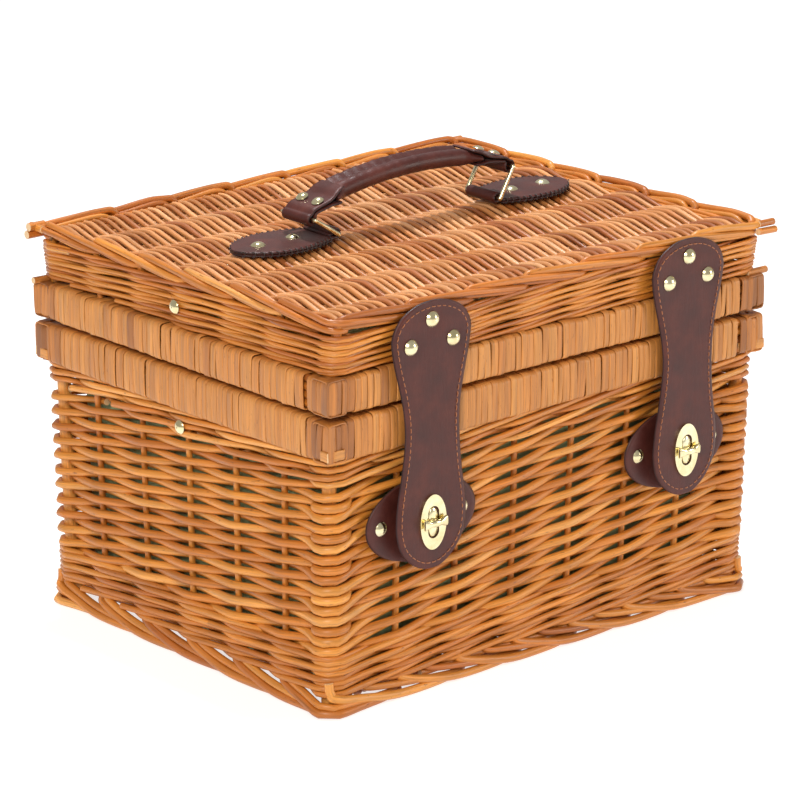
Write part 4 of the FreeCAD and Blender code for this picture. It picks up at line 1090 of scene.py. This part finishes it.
# ------------------------------------------------------------------ handle
HB = 6.0          # the whole handle sits a little behind the middle
TAB = [(0, 14.2), (8, 16.4), (20, 20.6), (34, 22.6), (46, 21.6), (56, 17.8), (64, 11.4), (68.5, 5.2), (70, 0)]
tu, th_ = np.array([p[0] for p in TAB], float), np.array([p[1] for p in TAB], float)
for tag, bx, sg in (("left", -59.0, -1), ("right", 75.0, 1)):
    W = (0, -1, 0) if sg < 0 else (0, 1, 0)
    u = np.concatenate([70 - np.linspace(0, 1, 16) ** 2 * 7, np.linspace(62.0, 3.0, 50)])
    hw = smooth_outline(tu, th_, u)
    hw[0] = 0.02
    # the edge is whipped with thick thread, which scallops it
    scal = 0.42 * np.sin(np.cumsum(np.concatenate([[0], np.abs(np.diff(u))])) * 2 * math.pi / 4.1) * np.clip((hw - 1) / 6, 0, 1)
    # upper ply, round the bar and back on itself
    flat = np.stack([bx + sg * u, np.full_like(u, HB), np.full_like(u, 251.2)], -1)
    a = np.radians(np.linspace(-62, 178, 26))
    cx, cz, rr = bx, 253.2, 2.9
    roll = np.stack([cx - sg * rr * np.cos(a), np.full_like(a, HB), cz + rr * np.sin(a)], -1)
    lead = np.linspace(0, 1, 6)[1:-1, None]
    p1, p2 = flat[-1], roll[0]
    mid = p1 + (p2 - p1) * lead
    back = roll[-1] + np.array((sg * 0.9, 0, -0.62)) * np.linspace(0.5, 3.2, 5)[:, None]
    back[:, 2] = np.maximum(back[:, 2], 252.7)
    path = np.vstack([flat, mid, roll, back])
    hh = np.concatenate([hw + scal, np.full(4, 14.0), 14.0 + 0.25 * np.sin(np.arange(26) * 1.3), 13.6 - np.linspace(0, 1.4, 5) ** 2])
    s_u = 70 - 24, 70 - 51
    rib = Ribbon(path, W, hh, 1.9, edge=0.8, cols=19, dents=[(0, 36.0, 17.0, -0.9), (0, s_u[0], 6.5, 0.5), (0, s_u[1], 6.5, 0.5)])
    done(rib.mesh("handle_tab_leather_" + tag, wave=0.1, seed=17 + sg), "lid", ["handle_tab_" + tag])
    # lower ply
    low = np.stack([bx + sg * u, np.full_like(u, HB), np.full_like(u, 249.55)], -1)
    rib2 = Ribbon(low, W, hw - 0.35 * np.clip(hw, 0, 1) - scal * 0.8, 1.5, edge=0.7, cols=15)
    done(rib2.mesh("handle_tab_lining_leather_" + tag, wave=0.06, seed=27 + sg), "lid", [])
    st = Soup()
    # whipping over the two edges
    d = 2.5
    al = np.concatenate([[0], np.cumsum(np.abs(np.diff(u)))])
    while d < al[-1] - 1.0:
        uu = np.interp(d, al, u)
        h1 = float(np.interp(d, al, hw))
        slope = float(np.interp(d + 0.6, al, hw) - np.interp(d - 0.6, al, hw)) / 1.2
        nrm = np.array((slope, 1.0)) / math.hypot(slope, 1.0)
        for sd in (-1, 1):
            e = np.array((bx + sg * (uu + 0.0), HB + sd * h1, 0.0))
            out = np.array((-sg * nrm[0] * -1.0 * -1.0, sd * nrm[1], 0.0))
            P = np.array([e - out * 2.1 + (0, 0, 252.05), e - out * 0.9 + (0, 0, 252.35), e + out * 0.15 + (0, 0, 251.7), e + out * 0.35 + (0, 0, 250.4),
                          e - out * 0.1 + (0, 0, 249.2), e - out * 1.6 + (0, 0, 248.95)])
            st.sweep(catmull(P, 3), 0.32, up=(1, 0, 0), sides=6)
        d += 4.1
    done(st.mesh("handle_tab_stitching_" + tag, DARK_THREAD), "lid", [])

bars = {"left": (-77.555, 264.921), "right": (86.0, 272.153)}
E0, E1 = np.array((-75.555, 269.121)), np.array((84.0, 276.353))
M = (E0 + E1) / 2 + np.array((0, 10.5))
# circle through the three points
ax_, az_, bx_, bz_, cx_, cz_ = *E0, *M, *E1
dd = 2 * (ax_ * (bz_ - cz_) + bx_ * (cz_ - az_) + cx_ * (az_ - bz_))
ux = ((ax_ ** 2 + az_ ** 2) * (bz_ - cz_) + (bx_ ** 2 + bz_ ** 2) * (cz_ - az_) + (cx_ ** 2 + cz_ ** 2) * (az_ - bz_)) / dd
uz = ((ax_ ** 2 + az_ ** 2) * (cx_ - bx_) + (bx_ ** 2 + bz_ ** 2) * (ax_ - cx_) + (cx_ ** 2 + cz_ ** 2) * (bx_ - ax_)) / dd
R_arc = math.hypot(ax_ - ux, az_ - uz)
a0, a1 = math.atan2(az_ - uz, ax_ - ux), math.atan2(cz_ - uz, cx_ - ux)
T0, T1 = 0.125, 0.875


def grip():
    """A round padded tube; its cover is sewn along the back, where the two edges stand out as a flat flange."""
    s = Soup()
    a = np.radians(np.linspace(54, 350, 30))
    tube = np.stack([-1.5 + 5.45 * np.cos(a), -0.5 + 5.45 * np.sin(a)], -1)
    lip = np.array([(5.4, 0.0), (7.2, 1.7), (8.8, 3.2), (9.7, 4.3), (9.6, 5.2), (8.7, 5.5), (7.2, 4.9), (5.6, 4.1), (4.0, 3.3), (2.9, 2.8)])
    prof = np.vstack([tube, lip])
    k = len(prof)
    th = np.unwrap(np.arctan2(prof[:, 1], prof[:, 0]))
    seam = np.concatenate([np.zeros(30), np.array([0, 0, 0.3, 1, 1, 0.6, 0, 0, 0.3, 0.9])])
    n = 110
    t = np.linspace(T0, T1, n)
    ang = a0 + (a1 - a0) * t
    C = np.stack([ux + R_arc * np.cos(ang), np.full(n, HB), uz + R_arc * np.sin(ang)], -1)
    Nn = np.stack([np.cos(ang), np.zeros(n), np.sin(ang)], -1)
    e = np.clip(np.minimum(t - T0, T1 - t) / 0.07, 0, 1)
    e = (e * e * (3 - 2 * e))[:, None]
    Y = prof[None, :, 0] * e + 12.3 * np.cos(th)[None] * (1 - e)
    Z = prof[None, :, 1] * e + 3.0 * np.sin(th)[None] * (1 - e)
    wr = (0.12 * np.sin(t * 140) + 0.1 * np.sin(t * 61 + 1))[:, None] * np.sin(th * 2 + 0.6)[None] * e
    V = C[:, None, :] + Y[..., None] * np.array((0, 1, 0)) + (Z + wr)[..., None] * Nn[:, None, :]
    along = t * R_arc * abs(a1 - a0)
    rod = np.stack([np.broadcast_to(along[:, None], Y.shape), Y, Z], -1)
    edge = np.broadcast_to(seam[None], Y.shape).reshape(-1)
    at = s.put(V.reshape(-1, 3), rod.reshape(-1, 3), 0.5, edge * 0.85)
    i = np.arange(n - 1)[:, None]
    j = np.arange(k)[None, :]
    j2 = (j + 1) % k
    s.q.append(np.stack([i * k + j, i * k + j2, (i + 1) * k + j2, (i + 1) * k + j], -1).reshape(-1, 4) + at)
    for e_i, sgn in ((0, 1), (n - 1, -1)):
        cc = s.put(V[e_i].mean(0)[None], rod[e_i].mean(0)[None], 0.5, 0.5)
        jj = np.arange(k)
        kk = (jj + 1) % k
        s.t.append(np.stack([np.full(k, cc), e_i * k + kk + at, e_i * k + jj + at] if sgn > 0 else [np.full(k, cc), e_i * k + jj + at, e_i * k + kk + at], -1))
    return s, C, Nn, Z


gs, GC, GN, GH = grip()
g = gs.mesh("grip_cover_leather", LEATHER)
done(g, "grip", ["grip_leather", "grip_core"])
def grip_end(tag):
    """Flat leather folded round the ring's bar: two plies that run from the tube to the bar and meet in a roll."""
    b = np.array(bars[tag])
    sg = 1 if tag == "left" else -1
    t = T0 if tag == "left" else T1
    ang = a0 + (a1 - a0) * t
    p = np.array((ux + R_arc * math.cos(ang), uz + R_arc * math.sin(ang)))
    tg = np.array((-math.sin(ang), math.cos(ang)))
    tg = tg if tg[0] * sg > 0 else -tg
    n = np.array((-tg[1], tg[0]))
    n = n if n[1] > 0 else -n
    e0 = E0 if tag == "left" else E1
    d = (p - e0) / np.linalg.norm(p - e0)
    m = np.array((-d[1], d[0]))
    m = m if m[1] > 0 else -m
    q0 = e0 + d * 1.5
    up = [p + tg * 8.0 + n * 5.0, p + tg * 1.5 + n * 3.9, p * 0.75 + q0 * 0.25 + m * 1.75, p * 0.4 + q0 * 0.6 + m * 1.45, q0 + m * 1.35]
    lo = [q0 - m * 1.35, p * 0.4 + q0 * 0.6 - m * 1.45, p * 0.75 + q0 * 0.25 - m * 1.9, p - n * 3.5, p + tg * 4.0 - n * 4.4]
    c0 = math.atan2(*(q0 + m * 1.2 - b)[::-1])
    c1 = math.atan2(*(q0 - m * 1.2 - b)[::-1])
    if sg > 0:
        while c1 < c0:
            c1 += 2 * math.pi
    else:
        while c1 > c0:
            c1 -= 2 * math.pi
    roll = [b + (3.0 if sg > 0 else 3.7) * np.array((math.cos(q), math.sin(q))) for q in np.linspace(c0, c1, 11)[1:-1]]
    line = catmull(np.array(up + roll + lo), 6)
    P = np.stack([line[:, 0], np.full(len(line), HB), line[:, 1]], -1)
    k = len(P)
    f = np.linspace(0, 1, k)
    w = 13.4 - 2.8 * np.clip(1 - f / 0.14, 0, 1) ** 2 - 2.8 * np.clip(1 - (1 - f) / 0.14, 0, 1) ** 2
    W = (0, -1, 0) if sg < 0 else (0, 1, 0)
    r = Ribbon(P, W, w, 1.9 if sg > 0 else 1.6, edge=0.8 if sg > 0 else 0.7, cols=15)
    return r.mesh("grip_end_leather_" + tag, wave=0.05, seed=23 + sg)


for tag in ("left", "right"):
    done(grip_end(tag), "grip", ["grip_end_" + tag])


# ------------------------------------------------------------------ cloth
def cloth_box(name, hx, hy, z_low, z_high, floor_low, rc, taper, seed, body, node, wob=0.5):
    """Lining: four walls and a floor (or a ceiling) cut from one flat piece, sewn up the corners."""
    loop = Loop(hx, hy, rc, FX, FY)
    n, m = 260, 18
    sl = np.linspace(0, loop.L, n, endpoint=False)
    zz = np.linspace(z_low, z_high, m)
    V, F = [], []
    thick = 0.8
    rod = []
    sgn = 1.0 if z_high > z_low else -1.0
    for lay in (0, 1):
        for z in np.linspace(z_low, z_high - sgn * thick * lay, m):
            fx, fy = taper(z)
            sw = wob * (np.sin(sl / 23.0 + z / 19.0 + seed) + np.sin(sl / 11.0 - z / 31.0))
            P = loop.at_s(sl, -lay * thick - np.abs(sw) * 0.5, np.full(n, z), fx, fy)
            V.append(P)
            rod.append(np.stack([sl, np.full(n, z), np.zeros(n)], -1))
    V = np.vstack(V)
    rod = np.vstack(rod)

    def ix(lay, i, j):
        return lay * m * n + i * n + (j % n)

    i, j = np.meshgrid(np.arange(m - 1), np.arange(n), indexing="ij")
    i, j = i.ravel(), j.ravel()
    out = np.stack([ix(0, i, j), ix(0, i, j + 1), ix(0, i + 1, j + 1), ix(0, i + 1, j)], -1)
    inn = np.stack([ix(1, i, j), ix(1, i + 1, j), ix(1, i + 1, j + 1), ix(1, i, j + 1)], -1)
    if z_high < z_low:
        out, inn = out[:, ::-1], inn[:, ::-1]
    j = np.arange(n)
    rim = np.stack([ix(0, 0, j), ix(1, 0, j), ix(1, 0, j + 1), ix(0, 0, j + 1)], -1)
    if z_high < z_low:
        rim = rim[:, ::-1]
    s = Soup()
    s.put(V, rod, 0.5, 0.0)
    s.q += [out, inn, rim]
    # the flat part: rings shrinking to the middle, from the last wall row of each layer
    rings = 16
    for lay in (0, 1):
        prev = ix(lay, m - 1, np.arange(n))
        edge = V[prev]
        rd = rod[prev]
        for r_i in range(1, rings):
            f = 1 - r_i / rings
            P = edge * np.array((f, f, 1))
            bump = wob * np.sin(P[:, 0] / 31 + seed) * np.sin(P[:, 1] / 27)
            P[:, 2] = P[:, 2] + bump * (0.0 if f > 0.95 else 1.0)
            at = s.put(P, np.stack([P[:, 0], P[:, 1] + 500, np.zeros(n)], -1), 0.5, 0.0)
            cur = at + np.arange(n)
            a, b, c, d = prev, np.roll(prev, -1), np.roll(cur, -1), cur
            qd = np.stack([a, b, c, d], -1)
            s.q.append(qd if (lay == 0) == (sgn > 0) else qd[:, ::-1])
            prev = cur
        c = s.put(np.array([[0, 0, V[ix(lay, m - 1, 0)][2]]]), np.zeros((1, 3)), 0.5, 0.0)
        tr = np.stack([prev, np.roll(prev, -1), np.full(n, c)], -1)
        s.t.append(tr if (lay == 0) == (sgn > 0) else tr[:, ::-1])
    ob = s.mesh(name, LINING)
    for p in ob.data.polygons:
        p.use_smooth = True
    done(ob, body, [node])
    return ob


def base_taper(z):
    return (175.0 + 2.5 * z / 162 - 14.6) / 161.0, (135.5 + 4.5 * z / 162 - 14.6) / 122.5


BL = cloth_box("base_lining_cloth", 161.0, 122.5, 160.0, 12.4, None, 14.0, base_taper, 1.0, "base", "base_lining")
LL = cloth_box("lid_lining_cloth", 163.4, 128.6, 215.0, 236.0, None, 6.0, lambda z: (1.0, 1.0), 2.0, "lid", "lid_lining",
               wob=0.3)


# ------------------------------------------------------------------ stays
def stay(tag, sx):
    """Webbing strap that holds the open lid. It hangs in a slack V inside the shut basket."""
    x0 = sx * 158.2
    start, end = np.array((151.0, 0.0)), np.array((226.0, 4.0))      # (z, y) of the rivets
    axis = np.array((189.0, 145.6))
    # straight and taut when the lid stands at 100 degrees; each point is turned back by its share of the angle
    full = math.radians(100)

    def turn(zy, q):
        d = zy - axis
        # the lid turns so that its front rises: (y, z) about the hinge
        y, z = d[1], d[0]
        return np.array((axis[0] + z * math.cos(q) - y * math.sin(q), axis[1] + y * math.cos(q) + z * math.sin(q)))

    end_open = turn(end, full)
    dvec = end - start
    L2 = dvec @ dvec
    pts = []
    for f in np.linspace(0, 1, 61):
        Q = start + (end_open - start) * f
        # find w with w = smoothstep(projection of the point turned back by w)
        lo_w, hi_w = 0.0, 1.0

        def g(w):
            R = turn(Q, -w * full)
            t = min(max(((R - start) @ dvec) / L2, 0), 1)
            return t * t * (3 - 2 * t) - w
        best = min(np.linspace(0, 1, 401), key=lambda w: abs(g(w)) + 0.0005 * abs(w - f))
        R = turn(Q, -best * full)
        pts.append(R)
    return x0, np.array(pts), end_open


for tag, sx in (("left", -1), ("right", 1)):
    x0, zy, eo = stay(tag, sx)
    k = np.ones(5) / 5
    sm = np.stack([np.convolve(np.pad(zy[:, c], 2, mode="edge"), k, "valid") for c in (0, 1)], -1)
    sm[0], sm[-1] = zy[0], zy[-1]
    P = np.stack([np.full(len(sm), x0), sm[:, 1], sm[:, 0]], -1)
    r = Ribbon(P, (0, 0, 1), np.full(len(P), 7.0), 1.2, edge=0.5, cols=9)
    # the webbing lies flat against the side: its width is in the side's plane, across its own line
    T = np.gradient(P, axis=0)
    T /= np.linalg.norm(T, axis=1)[:, None]
    s = Soup()
    s.sweep(P, np.full(len(P), 0.7), np.full(len(P), 6.8), up=(sx, 0, 0), transport=False, power=0.6, sides=12, tone=0.5)
    ob = s.mesh("lid_stay_webbing_" + tag, WEBBING)
    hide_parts("lid_stay_" + tag)
    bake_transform(ob)

# ------------------------------------------------------------------ brass fittings keep their CAD shapes
for name in ("strap_rivets", "patch_rivets", "tab_rivets", "grip_rivets", "stay_rivets_base", "stay_rivets_lid",
             "hinge_rivets_base", "hinge_rivets_lid", "eyelet_left", "eyelet_right",
             "turnlock_seat_left", "turnlock_seat_right", "ring_left", "ring_right"):
    o = frame["nodes"][name]
    o.data.materials.clear()
    o.data.materials.append(BRASS)

# ------------------------------------------------------------------ stage, light, camera
fm = Mat("pale_floor")
co = fm.node("TexCoord").outputs["Object"]
fm.link(fm.ramp(fm.noise(co, 3.0, 3.0, 0.5), [(0.3, (0.44, 0.44, 0.44, 1)), (0.7, (0.48, 0.48, 0.48, 1))]), fm.p.inputs["Base Color"])
fm.set(Roughness=0.9, Emission_Strength=0.72)
fm.p.inputs["Emission Color"].default_value = (1, 1, 1, 1)
bpy.ops.mesh.primitive_plane_add(size=16, location=(0, 0, -0.0002))
floor = bpy.context.object
floor.name = "floor"
floor.data.materials.append(fm.m)

w = bpy.data.worlds.new("studio")
bpy.context.scene.world = w
w.use_nodes = True
bg = w.node_tree.nodes["Background"]
bg.inputs[0].default_value = (1, 1, 1, 1)
bg.inputs[1].default_value = 0.42


def area(name, loc, aim, size, power, color=(1, 1, 1)):
    d = bpy.data.lights.new(name, "AREA")
    d.shape = "RECTANGLE"
    d.size, d.size_y = size
    d.energy = power
    d.color = color
    o = bpy.data.objects.new(name, d)
    bpy.context.scene.collection.objects.link(o)
    o.location = loc
    o.rotation_euler = (Vector(aim) - Vector(loc)).to_track_quat("-Z", "Y").to_euler()
    return o


area("key", (-1.75, -1.25, 1.5), (0, 0, 0.12), (0.8, 0.8), 34, (1.0, 0.95, 0.86))
area("top", (0.1, 0.46, 1.9), (0, 0, 0.2), (0.12, 0.12), 30, (0.95, 0.97, 1.0))
area("fill", (1.5, -1.7, 0.75), (0, 0, 0.12), (0.6, 0.6), 14, (1.0, 0.95, 0.86))

AZ, EL = math.radians(-40.8), math.radians(17.45)
right = Vector((math.cos(AZ), math.sin(AZ), 0))
back = Vector((math.sin(AZ) * math.cos(EL), -math.cos(AZ) * math.cos(EL), math.sin(EL)))
target = Vector((0, 0.004, 0.13177)) + right * -0.00055
cam = bpy.data.cameras.new("camera")
cam.lens, cam.sensor_width = 184.19, 36
cam.clip_start, cam.clip_end = 0.1, 100
co = bpy.data.objects.new("camera", cam)
bpy.context.scene.collection.objects.link(co)
co.location = target + back * 2.6036
co.rotation_mode = "QUATERNION"
co.rotation_quaternion = (-back).to_track_quat("-Z", "Y")
bpy.context.scene.camera = co
bpy.context.scene.view_settings.view_transform = "Standard"
